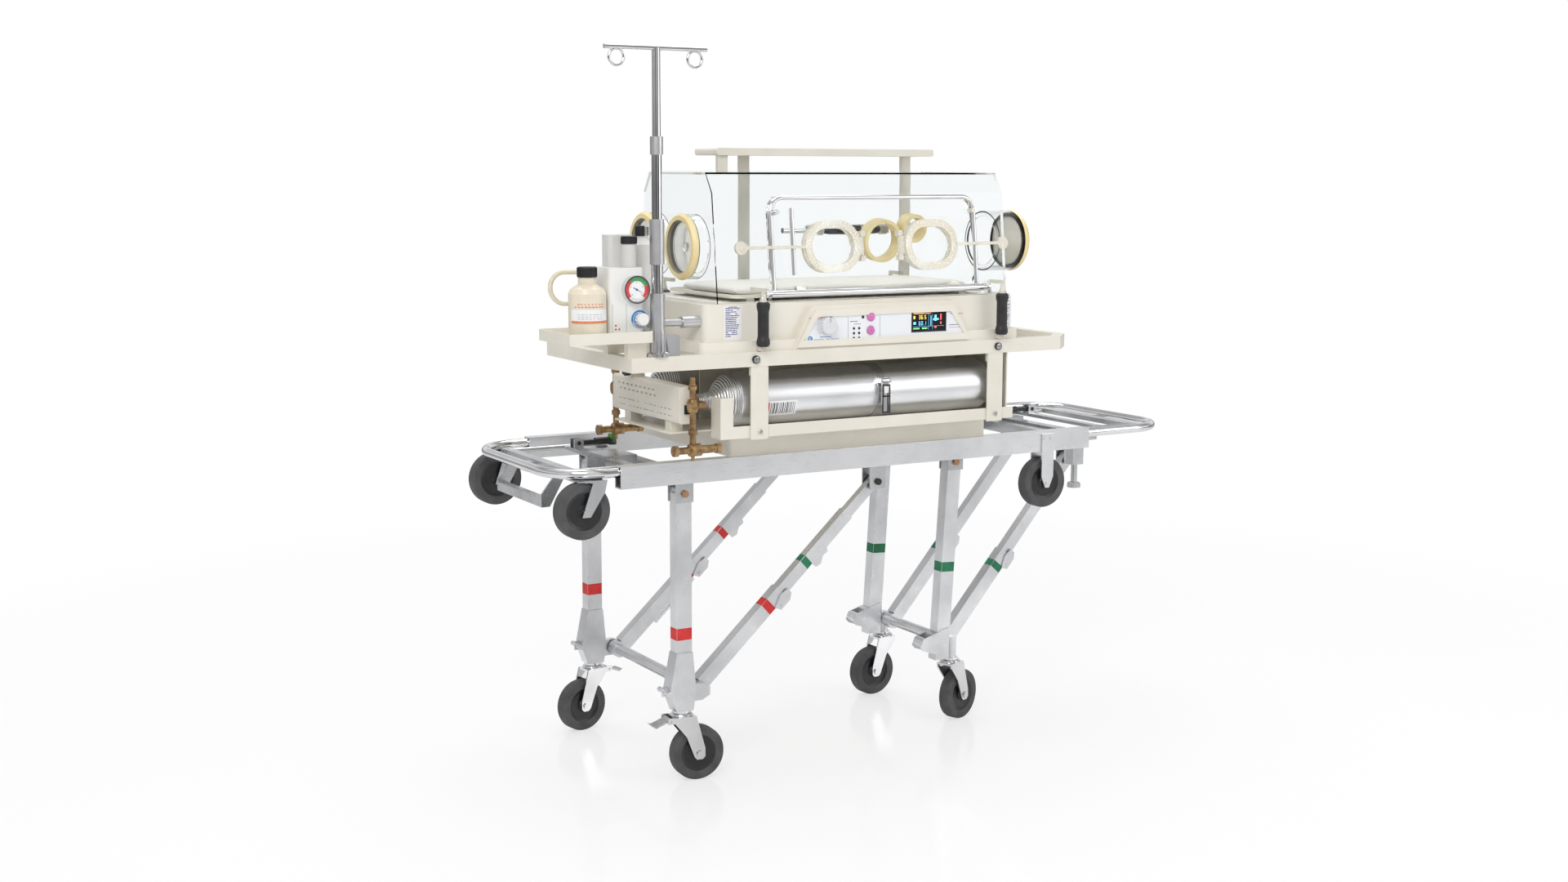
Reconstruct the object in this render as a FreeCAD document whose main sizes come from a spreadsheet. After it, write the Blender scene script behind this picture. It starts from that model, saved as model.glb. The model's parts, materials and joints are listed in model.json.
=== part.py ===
"""Infant transport incubator on a folding wheeled trolley, in millimetres, +Z up.

X runs along the trolley, from its loading end (-X) to its handle end (+X).
Y runs across it, from the front with the control panel (-Y) to the back.
The origin is on the floor, under the middle of the whole object.
"""
import FreeCAD, Part
import Sketcher
import math
import os
import re

# Driving dimensions: alias, then value in millimetres or degrees.
SIZES = {
    # running fits and seats
    "running_gap": 0.05, "soft_gap": 0.3, "side_gap": 1.0,
    # wheels and casters
    "wheel_diameter": 125, "wheel_width": 32, "tread_round": 5, "hub_diameter": 84,
    "hub_recess": 4, "axle_radius": 5, "boss_radius": 13, "caster_trail": 36,
    "caster_height": 165, "fork_plate": 4, "fork_gap": 2.5, "crown_thickness": 5,
    "race_radius": 24, "race_height": 13, "stem_radius": 8, "stem_length": 28,
    "fork_nose": 13, "left_near_turn": -5, "left_far_turn": 190,
    "right_near_turn": 20, "right_far_turn": 185,
    "pedal_length": 44, "pedal_pin": 3,
    # trolley frame
    "stretcher_y": 37.5, "frame_width": 540, "rail_height": 50, "rail_width": 30,
    "rail_wall": 3, "rail_top": 737, "rail_left": -715, "rail_right": 580,
    "bumper_reach": 865, "bumper_radius": 11, "bumper_bend": 110, "bumper_height": 723,
    "cross_width": 30, "cross_height": 25, "inner_rail_y": 155, "inner_rail_width": 26,
    "inner_rail_left": 150, "inner_rail_right": 690, "end_bar_x": 792, "end_bar_width": 24,
    "end_bar_height": 12, "rod_radius": 7, "rod_y": 178, "lock_box_length": 80,
    "lock_box_width": 100, "lock_box_height": 38,
    # folding legs
    "leg_depth": 38, "leg_width": 32, "pivot_height": 663, "pivot_radius": 5,
    "left_leg_x": -555, "left_leg_y": 240, "right_leg_top": 240, "right_leg_foot": 210,
    "right_leg_y": 155, "shoe_height": 135, "shoe_flare": 9, "shoe_wall": 3,
    "right_caster_x": 247, "sleeve_radius": 14, "sleeve_height": 52,
    "hanger_plate": 3, "hanger_depth": 44, "hanger_length": 44, "bolt_head_radius": 8,
    "bolt_head_height": 5, "tie_bar_radius": 13, "tie_bar_height": 200, "left_tie_x": -502,
    "right_tie_x": 251, "roller_radius": 13, "roller_reach": 58, "roller_height": 212,
    # telescoping braces
    "brace_height": 34, "brace_width": 28, "brace_wall": 2, "brace_slip": 0.3,
    "left_brace_y": 205, "right_brace_y": 120, "brace_top_height": 642, "left_brace_top": -20,
    "right_brace_top": 632, "left_outer_length": 285, "left_middle_length": 278,
    "left_inner_length": 280, "middle_end": 549, "right_outer_length": 260,
    "right_inner_length": 337, "eye_radius": 20, "hook_place": 405, "hook_width": 8,
    "lock_plate": 4, "brace_hanger_depth": 62, "pull_rod_radius": 3.5, "pull_rod_drop": 24,
    # loading wheels
    "load_wheel_left_x": -800, "load_wheel_left_y": 250, "load_wheel_left_z": 645,
    "load_wheel_right_x": 448, "load_wheel_right_z": 608, "load_plate": 4, "axle_end": 2.5,
    "load_plate_width": 36, "stirrup_x": -832, "stirrup_half": 130, "stirrup_bar": 20,
    # release levers and floor lock
    "lever_length": 92, "lever_width": 16, "lever_height": 10, "lever_y": 130,
    "left_lever_x": -640, "right_lever_x": 700, "lever_pin": 5,
    "lock_foot_x": 600, "lock_foot_y": 190, "lock_foot_radius": 17, "lock_stud_radius": 8,
    # lower base and cylinder bay
    "unit_y": -57.5, "base_box_left": -440, "base_box_right": 268, "base_box_height": 63,
    "base_box_front": 255, "base_box_back": 262, "sheet_wall": 3,
    "bay_left": -430, "bay_right": 290, "bay_half": 215, "bay_floor": 4, "ring_bottom": 945,
    "strap_width": 45, "strap_left": -420, "strap_right": 225, "strap_thickness": 5,
    "bay_rail_height": 27, "bay_rail_low": 786, "bay_rail_left": -470, "bay_rail_right": 305,
    "cylinder_radius": 61, "cylinder_body_left": -432, "cylinder_body_right": 252,
    "cylinder_shoulder": 52, "neck_radius": 17, "neck_bore": 6, "cylinder_wall": 7, "neck_length": 34,
    "cylinder_offset": 149,
    "band_x": -62, "band_width": 26, "band_thickness": 1.5, "buckle_lift": 24, "buckle_pin": 3,
    "buckle_length": 74,
    # gas manifold
    "manifold_left": -586, "manifold_depth": 40, "manifold_bottom": 824, "manifold_height": 82,
    "manifold_front": -258, "manifold_back": 78, "valve_x": -560, "valve_front_y": -272,
    "valve_back_y": 120, "valve_low": 768, "valve_high": 915, "valve_radius": 7,
    "gas_knob_radius": 15, "gas_knob_y": -12, "gas_knob_lift": 17,
    # tray ring
    "ring_left": -712, "ring_right": 500, "ring_half": 227, "ring_height": 32, "ring_bar": 26,
    "ring_chamfer": 60,
    # incubator base
    "shell_left": -540, "shell_right": 320, "shell_half": 219, "shell_height": 106,
    "ledge_height": 24, "ledge_inset": 13, "shell_wall": 5, "shell_round": 14,
    "panel_centre": -67, "panel_width": 470, "panel_height": 82, "panel_slope": 46,
    "panel_depth": 22, "panel_low": 982, "face_plate": 3, "face_margin": 15, "face_recess": 4,
    "knob_radius": 20, "knob_depth": 17, "knob_x": -225, "knob_z": 1028,
    "button_radius": 9.5, "button_depth": 5, "button_x": -107, "button_pitch": 31,
    "button_z": 1044, "button_well": 10, "shaft_radius": 4, "panel_border": 10,
    "display_x": 8, "display_z": 1006, "display_width": 92, "display_height": 46,
    # hood
    "hood_left": -488, "hood_right": 300, "hood_half": 193, "hood_height": 286,
    "hood_shoulder": 240, "hood_lean": 26, "hood_slope": 55, "hood_wall": 5,
    "door_left": -350, "door_right": 214, "door_low": 26, "door_high": 236, "door_wall": 5,
    "door_gap": 1.0, "door_tube": 5, "hinge_bar_radius": 8, "hinge_bar_height": 17,
    "hinge_bar_reach": 22, "door_bend": 32,
    "port_half_width": 73, "port_half_height": 58, "port_bar": 17, "port_depth": 20,
    "port_height": 120, "left_port_x": -193, "right_port_x": 76, "hinge_radius": 4,
    "hinge_offset": 10, "hinge_span": 34, "rear_round_x": 258, "rear_oval_x": 165,
    "rear_depth": 34, "rear_round_radius": 36, "rear_oval_radius": 54,
    "end_port_radius": 72, "end_port_bar": 13, "end_port_height": 122, "end_port_offset": 92,
    "left_drum": 42, "right_drum": 90, "drum_wall": 3, "gasket_depth": 14,
    "paddle_radius": 15, "left_paddle": 170, "right_paddle": 134, "arm_size": 7,
    # mattress
    "deck_left": -430, "deck_right": 250, "deck_half": 160, "deck_lift": 8, "deck_height": 8,
    "mattress_margin": 12, "mattress_height": 22,
    # grips
    "grip_radius": 15, "grip_length": 98, "grip_top": 1088, "grip_left_x": -398,
    "grip_right_x": 252, "grip_stand": 19, "arm_reach": 2.4,
    # top shelf
    "shelf_left": -326, "shelf_right": 290, "shelf_front": 50, "shelf_back": 162,
    "shelf_height": 1408, "shelf_thickness": 17, "post_width": 26, "post_depth": 12,
    "post_left_x": -197, "post_right_x": 274, "short_post_x": -306, "short_post_y": 58,
    # pole for drips
    "pole_x": -642, "pole_y": -268, "pole_radius": 13, "pole_foot_radius": 24,
    "pole_foot_height": 10, "pole_outer_top": 1270, "collar_radius": 16, "inner_pole_radius": 10.9,
    "inner_pole_low": 1180, "slim_pole_radius": 9, "inner_pole_top": 1425, "pole_top": 1628,
    "hook_bar_length": 240, "hook_bar_radius": 5, "hook_radius": 17, "hook_wire": 3,
    "hook_spread": 92, "clamp_height": 1046, "clamp_y": -240,
    # suction unit
    "tray_left": -856, "tray_right": -662, "tray_front": -292, "tray_back": -120,
    "tray_bottom": 1010, "tray_lip": 24, "tray_floor": 8, "bottle_x": -796, "bottle_y": -246,
    "bottle_radius": 40, "bottle_height": 132, "bottle_neck": 19, "cap_radius": 21,
    "cap_height": 22, "pump_x": -709, "pump_y": -212, "pump_width": 84, "pump_depth": 92,
    "pump_height": 150, "gauge_x": -692, "gauge_radius": 30, "gauge_depth": 16,
    "gauge_lift": 104, "dial_x": -680, "dial_radius": 14, "dial_depth": 22, "dial_lift": 40,
    "canister_width": 58, "canister_depth": 44, "canister_height": 68, "vial_x": -694,
    "vial_radius": 16, "vial_height": 66, "flask_x": -636, "flask_y": -182, "flask_radius": 25,
    "flask_height": 236, "wing_right": -606, "wing_front": -214, "wing_back": -150,
    "hose_radius": 5, "hose_loop": 34, "hose_left": -822, "hose_lift": 107, "fitting_length": 14,
}

# Places worked out from the sizes: alias, then formula.
PLACES = {
    "wheel_radius": "wheel_diameter / 2",
    "rail_low": "rail_top - rail_height",
    "cross_low": "rail_low",
    "side_y": "frame_width / 2",
    "crown_top": "caster_height - race_height",
    "crown_low": "crown_top - crown_thickness",
    "fork_half": "wheel_width / 2 + fork_gap",
    "unit_front": "unit_y - shell_half",
    "bay_front": "unit_y - bay_half",
    "ring_front": "unit_y - ring_half",
    "ring_top": "ring_bottom + ring_height",
    "base_box_top": "rail_top + base_box_height",
    "bay_deck": "base_box_top + bay_floor",
    "front_cylinder_y": "unit_y - cylinder_offset",
    "back_cylinder_y": "unit_y + cylinder_offset",
    "cylinder_z": "bay_deck + cylinder_radius + soft_gap",
    "shell_top": "ring_top + shell_height",
    "hood_top": "shell_top + hood_height",
    "hood_front": "unit_y - hood_half",
   
    "end_port_z": "shell_top + end_port_height",
    "deck_low": "shell_top + deck_lift",
    "body_front": "unit_front + ledge_inset",
    "panel_front": "body_front - panel_depth",
    "face_front": "panel_front + face_recess",
    "tray_top": "tray_bottom + tray_floor",
    "hose_y": "pump_y + 22",
    "hose_middle": "tray_top + hose_lift",
    "hose_high": "hose_middle + hose_loop - 1",
    "hose_low": "hose_middle - hose_loop + 1",
}

NODES = {}
doc = FreeCAD.newDocument("transport_incubator")


def fill_sheet(name, cells):
    """Write one sheet of aliases and values or formulas."""
    sheet = doc.addObject("Spreadsheet::Sheet", name)
    for row, (alias, content) in enumerate(cells.items(), start=1):
        sheet.set("A%d" % row, alias)
        text = str(content)
        if isinstance(content, str):
            text = "=" + formula(content)
        sheet.set("B%d" % row, text)
        sheet.setAlias("B%d" % row, alias)
    return sheet


def formula(text):
    """Turn plain alias names in a formula into references to the two sheets."""
    def reference(match):
        word = match.group(0)
        if word in SIZES:
            return "Sizes." + word
        if word in PLACES:
            return "Places." + word
        return word
    return re.sub(r"[a-z][a-z_]*", reference, str(text))


sizes = fill_sheet("Sizes", SIZES)
places = fill_sheet("Places", PLACES)
doc.recompute()
probe = doc.addObject("Spreadsheet::Sheet", "Probe")


def value(text):
    """Number that a formula gives now, worked out by the document itself."""
    probe.set("A1", "=" + formula(text))
    probe.recompute()
    return float(probe.get("A1"))


def vector(at):
    return FreeCAD.Vector(*[value(part) for part in at])


def bind(thing, **formulas):
    """Bind properties of an object to formulas; Base_x stands for Placement.Base.x."""
    for prop, text in formulas.items():
        thing.setExpression(prop.replace("Base_", "Placement.Base."), formula(text))
    return thing


def put(thing, at, turn=None):
    """Place an object at three formulas, after an optional fixed turn."""
    if turn is not None:
        thing.Placement = FreeCAD.Placement(FreeCAD.Vector(), turn)
    return bind(thing, Base_x=at[0], Base_y=at[1], Base_z=at[2])


TURNS = {
    "z": FreeCAD.Rotation(),
    "x": FreeCAD.Rotation(FreeCAD.Vector(0, 1, 0), 90),
    "y": FreeCAD.Rotation(FreeCAD.Vector(1, 0, 0), -90),
    "-x": FreeCAD.Rotation(FreeCAD.Vector(0, 1, 0), -90),
    "-y": FreeCAD.Rotation(FreeCAD.Vector(1, 0, 0), 90),
}


def block(name, size, at):
    """Box from its lowest corner."""
    box = doc.addObject("Part::Box", name)
    bind(box, Length=size[0], Width=size[1], Height=size[2])
    return put(box, at)


def rod(name, radius, length, at, along="z"):
    """Round bar that starts at a point and runs along an axis."""
    bar = doc.addObject("Part::Cylinder", name)
    bind(bar, Radius=radius, Height=length)
    return put(bar, at, TURNS[along])


def ring(name, outer, inner, length, at, along="z"):
    """Round tube or washer."""
    reach = "(%s) + 2" % length
    return cut(name, rod(name + "_outer", outer, length, at, along),
               rod(name + "_bore", inner, reach, shifted(at, along, "-1"), along))


def shifted(at, along, distance):
    """Formulas of a point moved along an axis."""
    sign = "-" if along.startswith("-") else "+"
    index = "xyz".index(along[-1])
    moved = [str(part) for part in at]
    moved[index] = "(%s) %s (%s)" % (moved[index], sign, distance)
    return tuple(moved)


def fuse(name, *things):
    joined = doc.addObject("Part::MultiFuse", name)
    joined.Shapes = list(things)
    joined.Refine = True
    return joined


def cut(name, base, *tools):
    result = doc.addObject("Part::Cut", name)
    result.Base = base
    result.Tool = tools[0] if len(tools) == 1 else fuse(name + "_tools", *tools)
    return result


def group(name, *things):
    """Separate solids kept together."""
    together = doc.addObject("Part::Compound", name)
    together.Links = list(things)
    return together


def mirrored(name, thing, across="stretcher_y"):
    """Copy on the other side of the plane Y = across."""
    copy = doc.addObject("Part::Mirroring", name)
    copy.Source = thing
    copy.Normal = FreeCAD.Vector(0, 1, 0)
    copy.setExpression("Base.y", formula(across))
    return copy


def pair(name, thing, across="stretcher_y"):
    return group(name, thing, mirrored(name + "_twin", thing, across))


def rounded(name, thing, radius, wanted):
    """Fillet of the edges for which wanted(edge) is true."""
    doc.recompute()
    size = value(radius)
    fillet = doc.addObject("Part::Fillet", name)
    fillet.Base = thing
    edges = thing.Shape.Edges
    fillet.Edges = [(k, size, size) for k, edge in enumerate(edges, start=1) if wanted(edge)]
    return fillet


def runs_along(axis):
    """Test for straight edges parallel to an axis."""
    unit = {"x": (1, 0, 0), "y": (0, 1, 0), "z": (0, 0, 1)}[axis]

    def test(edge):
        straight = edge.Curve.TypeId == "Part::GeomLine"
        return straight and abs(edge.tangentAt(edge.FirstParameter).dot(FreeCAD.Vector(unit))) > 0.999
    return test


def outline_sketch(body, plane, points):
    """Closed sketch of straight sides whose corners are bound to formulas."""
    sketch = body.newObject("Sketcher::SketchObject", body.Name + "_sketch")
    origin = body.Origin.OriginFeatures
    sketch.AttachmentSupport = ([part for part in origin if part.Role == plane + "_Plane"][0], "")
    sketch.MapMode = "FlatFace"
    corners = [(value(across), value(up)) for across, up in points]
    count = len(corners)
    for k, start in enumerate(corners):
        end = corners[(k + 1) % count]
        sketch.addGeometry(Part.LineSegment(FreeCAD.Vector(*start, 0), FreeCAD.Vector(*end, 0)))
    for k in range(count):
        sketch.addConstraint(Sketcher.Constraint("Coincident", k, 2, (k + 1) % count, 1))
    for k, corner in enumerate(points):
        for axis, kind in enumerate(("DistanceX", "DistanceY")):
            if abs(corners[k][axis]) < 1e-7:
                sketch.addConstraint(Sketcher.Constraint("PointOnObject", k, 1, -2 + axis))
                continue
            number = sketch.addConstraint(Sketcher.Constraint(kind, -1, 1, k, 1, corners[k][axis]))
            sketch.setExpression("Constraints[%d]" % number, formula(corner[axis]))
    return sketch


def plate(name, plane, points, thickness, at=("0", "0", "0")):
    """Padded outline: XY grows to +Z, YZ to +X and XZ to -Y."""
    body = doc.addObject("PartDesign::Body", name)
    pad = body.newObject("PartDesign::Pad", name + "_pad")
    pad.Profile = outline_sketch(body, plane, points)
    pad.setExpression("Length", formula(thickness))
    return put(body, at)


def lathe(name, points, at, along="z"):
    """Outline of (radius, height) turned all the way round."""
    body = doc.addObject("PartDesign::Body", name)
    sketch = outline_sketch(body, "XZ", points)
    spin = body.newObject("PartDesign::Revolution", name + "_turn")
    spin.Profile = sketch
    spin.ReferenceAxis = (sketch, ["V_Axis"])
    spin.Angle = 360
    return put(body, at, TURNS[along])


def moved_copy(name, thing, at, turn):
    """Copy of a master object, turned and then placed."""
    return put(group(name, thing), at, turn)


def bent_tube(name, points, radius, bend, bore=None):
    """Tube along straight runs with an arc of one radius at each corner."""
    spots = [vector(point) for point in points]
    reach = value(bend) if isinstance(bend, str) else bend
    edges = []
    start = spots[0]
    for k in range(1, len(spots) - 1):
        before = (spots[k - 1] - spots[k]).normalize()
        after = (spots[k + 1] - spots[k]).normalize()
        turn = math.pi - before.getAngle(after)
        size = reach
        if reach is None:
            shorter = min((spots[k - 1] - spots[k]).Length, (spots[k + 1] - spots[k]).Length)
            size = 0.45 * shorter / math.tan(turn / 2)
        leg = size * math.tan(turn / 2)
        first = spots[k] + before * leg
        last = spots[k] + after * leg
        inward = (before + after).normalize()
        middle = spots[k] + inward * (size / math.cos(turn / 2) - size)
        if (first - start).Length > 1e-6:
            edges.append(Part.LineSegment(start, first).toShape())
        edges.append(Part.Arc(first, middle, last).toShape())
        start = last
        if reach is None:
            print("%s bend %d: radius %.1f" % (name, k, size))
    edges.append(Part.LineSegment(start, spots[-1]).toShape())
    path = Part.Wire(edges)
    direction = (spots[1] - spots[0]).normalize()

    def sweep(size):
        circle = Part.Wire(Part.Circle(spots[0], direction, size).toShape())
        return path.makePipeShell([circle], True, False)

    shape = sweep(value(radius))
    if bore is not None:
        shape = shape.cut(sweep(value(bore)))
    feature = doc.addObject("Part::Feature", name)
    feature.Shape = shape
    return feature


def keep(node, thing):
    """Name the node that an object is written to."""
    thing.Label = node
    NODES[node] = thing
    return thing


def across(part):
    """Formula of a place measured from the trolley's centre line towards the front."""
    return "stretcher_y - (%s)" % part


def side_rails():
    length = "rail_right - rail_left"
    outer = block("rail_outer", (length, "rail_width", "rail_height"),
                  ("rail_left", across("side_y"), "rail_low"))
    bore = block("rail_bore", (length + " + 2", "rail_width - 2 * rail_wall", "rail_height - 2 * rail_wall"),
                 ("rail_left - 1", across("side_y - rail_wall"), "rail_low + rail_wall"))
    keep("side_rails", pair("rails", cut("rail", outer, bore)))


def end_bumpers():
    """U-shaped tubes that guard both ends, each with spigots inside the rails."""
    spigot = "rail_wall + 20"
    half = "side_y - rail_width / 2"
    left = [("rail_left + " + spigot, across(half), "bumper_height"),
            ("-bumper_reach + bumper_radius", across(half), "bumper_height"),
            ("-bumper_reach + bumper_radius", "stretcher_y + " + half, "bumper_height"),
            ("rail_left + " + spigot, "stretcher_y + " + half, "bumper_height")]
    right = [("rail_right - (%s)" % spigot,) + left[0][1:],
             ("bumper_reach - bumper_radius",) + left[1][1:],
             ("bumper_reach - bumper_radius",) + left[2][1:],
             ("rail_right - (%s)" % spigot,) + left[3][1:]]
    tubes = [bent_tube("bumper_" + side, points, "bumper_radius", "bumper_bend", "bumper_radius - 2")
             for side, points in (("left", left), ("right", right))]
    keep("end_bumpers", group("bumpers", *tubes))


def cross_frame():
    """Cross members, inner rails and the bars of both ends between the side rails."""
    width = "frame_width - 2 * rail_width"
    low = "cross_low"
    pieces = []
    for name, x in (("a", "left_leg_x"), ("b", "left_brace_top"), ("c", "right_leg_top"),
                    ("d", "rail_right - cross_width / 2")):
        pieces.append(block("cross_" + name, ("cross_width", width, "cross_height"),
                            ("%s - cross_width / 2" % x, across("side_y - rail_width"), low)))
    inner = block("inner_rail", ("inner_rail_right - inner_rail_left", "inner_rail_width", "cross_height"),
                  ("inner_rail_left", across("inner_rail_y + inner_rail_width / 2"), low))
    pieces += [inner, mirrored("inner_rail_back", inner)]
    pieces.append(block("brace_cross", ("cross_width", "2 * inner_rail_y", "cross_height"),
                        ("right_brace_top - cross_width / 2", across("inner_rail_y"), low)))
    rod_z = "cross_low + cross_height + rod_radius - 1"
    for side, start, end in (("left", "-end_bar_x", "left_leg_x + cross_width / 2"),
                             ("right", "rail_right - cross_width", "end_bar_x")):
        bar = rod("end_rod_" + side, "rod_radius", "(%s) - (%s)" % (end, start),
                  (start, across("rod_y"), rod_z), "x")
        pieces += [bar, mirrored("end_rod_back_" + side, bar)]
        x = "-end_bar_x - end_bar_width / 2" if side == "left" else "end_bar_x - end_bar_width / 2"
        pieces.append(block("end_bar_" + side, ("end_bar_width", "2 * rod_y + 40", "end_bar_height"),
                            (x, across("rod_y + 20"), rod_z + " - end_bar_height / 2")))
        arm_start = "-bumper_reach + 2 * bumper_radius" if side == "left" else "end_bar_x - 1"
        pieces.append(block("end_arm_" + side,
                            ("bumper_reach - end_bar_x - 2 * bumper_radius + 1", "cross_width", "6"),
                            (arm_start, "stretcher_y - cross_width / 2", rod_z + " - 3")))
    pieces.append(block("lock_box", ("lock_box_length", "lock_box_width", "lock_box_height"),
                        ("left_leg_x - cross_width / 2 - lock_box_length",
                         "stretcher_y - lock_box_width / 2", low)))
    lever_x = {"left": "left_lever_x", "right": "right_lever_x"}
    for side, x in lever_x.items():
        pieces += lever_post(side, x, rod_z)
    keep("cross_frame", fuse("frame_bars", *pieces))


def lever_post(side, x, rod_z):
    """Clevis on a bar between the end rods, with the bore of a release lever."""
    bar = block("lever_bar_" + side, ("24", "2 * rod_y", "8"),
                (x + " - 12", across("rod_y"), rod_z + " - 4"))
    ears = []
    for k, y in enumerate(("lever_y + lever_width / 2 + side_gap",
                           "lever_y - lever_width / 2 - side_gap - 4")):
        ears.append(block("lever_ear_%s_%d" % (side, k), ("24", "4", "26"),
                          (x + " - 12", "stretcher_y + (%s)" % y, rod_z)))
    holes = [rod("lever_hole_" + side, "lever_pin + running_gap", "lever_width + 20",
                 (x, "stretcher_y + lever_y - lever_width / 2 - 10", rod_z + " + 16"), "y")]
    return [cut("lever_post_" + side, fuse("lever_ears_" + side, bar, *ears), *holes)]


def release_levers():
    """Levers that free the braces; each turns on its own cross pin."""
    for side, x, way in (("left", "left_lever_x", 1), ("right", "right_lever_x", -1)):
        z = "cross_low + cross_height + rod_radius - 1 + 16"
        y = "stretcher_y + lever_y - lever_width / 2"
        pin = rod("lever_pin_" + side, "lever_pin", "lever_width + 10 + 2 * side_gap",
                  (x, y + " - 5 - side_gap", z), "y")
        hub = rod("lever_hub_" + side, "lever_pin + 5", "lever_width", (x, y, z), "y")
        start = x if way > 0 else x + " - lever_length"
        arm = block("lever_arm_" + side, ("lever_length", "lever_width", "lever_height"),
                    (start, y, z + " - lever_height / 2"))
        tip = x + (" + lever_length" if way > 0 else " - lever_length")
        button = rod("lever_button_" + side, "lever_width / 2 + 2", "26",
                     (tip, y + " + lever_width / 2", z + " - 10"))
        grip = rod("lever_grip_" + side, "lever_width / 2 + 1", "lever_length / 2",
                   (tip + (" - lever_length / 2" if way > 0 else ""), y + " + lever_width / 2", z), "x")
        keep("release_lever_" + side, fuse("lever_" + side, pin, hub, arm, button, grip))


def hanger(name, x, y, width, depth, bolt_height, with_bolt):
    """Folded plate under a bar with two ears, and the bolt that a leg turns on."""
    gap = "(%s) / 2 + side_gap" % width
    top = block(name + "_top", ("hanger_length", "2 * (%s + hanger_plate)" % gap, "hanger_plate"),
                (x + " - hanger_length / 2", "%s - (%s) - hanger_plate" % (y, gap),
                 "rail_low - hanger_plate"))
    pieces = [top]
    for k, low in enumerate(("%s - (%s) - hanger_plate" % (y, gap), "%s + (%s)" % (y, gap))):
        pieces.append(block("%s_ear_%d" % (name, k), ("hanger_length", "hanger_plate", depth),
                            (x + " - hanger_length / 2", low, "rail_low - " + depth)))
    if with_bolt:
        pieces.append(rod(name + "_bolt", "pivot_radius", "2 * (%s + hanger_plate)" % gap,
                          (x, "%s - (%s) - hanger_plate" % (y, gap), bolt_height), "y"))
    head_y = "%s - (%s) - hanger_plate - bolt_head_height" % (y, gap)
    pieces.append(rod(name + "_head", "bolt_head_radius", "bolt_head_height", (x, head_y, bolt_height), "y"))
    return fuse(name, *pieces)


def leg_hangers():
    """Hangers of the legs, with their bolts, and of the braces, whose own pins stay free."""
    things = []
    for name, x, y in (("left", "left_leg_x", "left_leg_y"), ("right", "right_leg_top", "right_leg_y")):
        things.append(hanger("hanger_" + name, x, across(y), "leg_width", "hanger_depth", "pivot_height",
                             True))
    for name in ("left", "right"):
        things.append(hanger("hanger_brace_" + name, name + "_brace_top", across(name + "_brace_y"),
                             "brace_width", "brace_hanger_depth", "brace_top_height", False))
    twins = [mirrored(thing.Name + "_back", thing) for thing in things]
    keep("leg_hangers", group("hangers", *(things + twins)))


def leg_outline(top_x, foot_x):
    half = "leg_depth / 2"
    return [("%s - %s" % (top_x, half), "pivot_height"), ("%s + %s" % (top_x, half), "pivot_height"),
            ("%s + %s" % (foot_x, half), "caster_height"), ("%s - %s" % (foot_x, half), "caster_height")]


def leg(name, top_x, foot_x, stem_x, y, pieces):
    """One leg with its rounded top, pivot hole and the socket for the caster's stem."""
    near = "%s - leg_width / 2" % y
    tube = plate(name + "_tube", "XZ", leg_outline(top_x, foot_x), "leg_width",
                 ("0", near + " + leg_width", "0"))
    knuckle = rod(name + "_knuckle", "leg_depth / 2", "leg_width", (top_x, near, "pivot_height"), "y")
    solid = fuse(name + "_solid", tube, knuckle, *pieces)
    hole = rod(name + "_hole", "pivot_radius + running_gap", "leg_width + 2",
               (top_x, near + " - 1", "pivot_height"), "y")
    socket = rod(name + "_socket", "stem_radius + running_gap", "stem_length + 3",
                 (stem_x, y, "caster_height - 1"))
    return cut(name, solid, hole, socket)


def left_leg_frame():
    y = across("left_leg_y")
    shoe_half = "leg_depth / 2 + shoe_flare"
    shoe = plate("left_shoe", "XZ",
                 [("left_leg_x - leg_depth / 2 - 1", "caster_height + shoe_height"),
                  ("left_leg_x + leg_depth / 2 + 1", "caster_height + shoe_height"),
                  ("left_leg_x + " + shoe_half, "caster_height + shoe_height / 3"),
                  ("left_leg_x + leg_depth / 2 + 2", "caster_height"),
                  ("left_leg_x - leg_depth / 2 - 2", "caster_height"),
                  ("left_leg_x - (%s) - 10" % shoe_half, "caster_height + shoe_height / 3")],
                 "leg_width + 2 * shoe_wall", ("0", y + " + leg_width / 2 + shoe_wall", "0"))
    lug = plate("left_lug", "XZ",
                [("left_leg_x", "tie_bar_height - eye_radius"), ("left_tie_x", "tie_bar_height - eye_radius"),
                 ("left_tie_x + eye_radius", "tie_bar_height - eye_radius / 2"),
                 ("left_tie_x + eye_radius", "tie_bar_height + eye_radius / 2"),
                 ("left_tie_x", "tie_bar_height + eye_radius"),
                 ("left_leg_x", "tie_bar_height + eye_radius")],
                "leg_width / 2", ("0", y + " + leg_width / 2 - 1", "0"))
    pin = rod("left_roller_pin", "6", "leg_width + 2 * shoe_wall + 16",
              ("left_leg_x - leg_depth / 2 - shoe_flare - 14", y + " - leg_width / 2 - shoe_wall - 8",
               "roller_height"), "y")
    ear = block("left_roller_ear", ("20", "4", "22"),
                ("left_leg_x - leg_depth / 2 - shoe_flare - 22", y + " - 2", "roller_height - 11"))
    front = leg("left_leg", "left_leg_x", "left_leg_x", "left_leg_x", y, [shoe, lug, pin, ear])
    tie = rod("left_tie", "tie_bar_radius", "2 * left_leg_y - leg_width / 2",
              ("left_tie_x", across("left_leg_y - leg_width / 4"), "tie_bar_height"), "y")
    keep("left_leg_frame", fuse("left_legs", front, mirrored("left_leg_back", front), tie))


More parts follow.
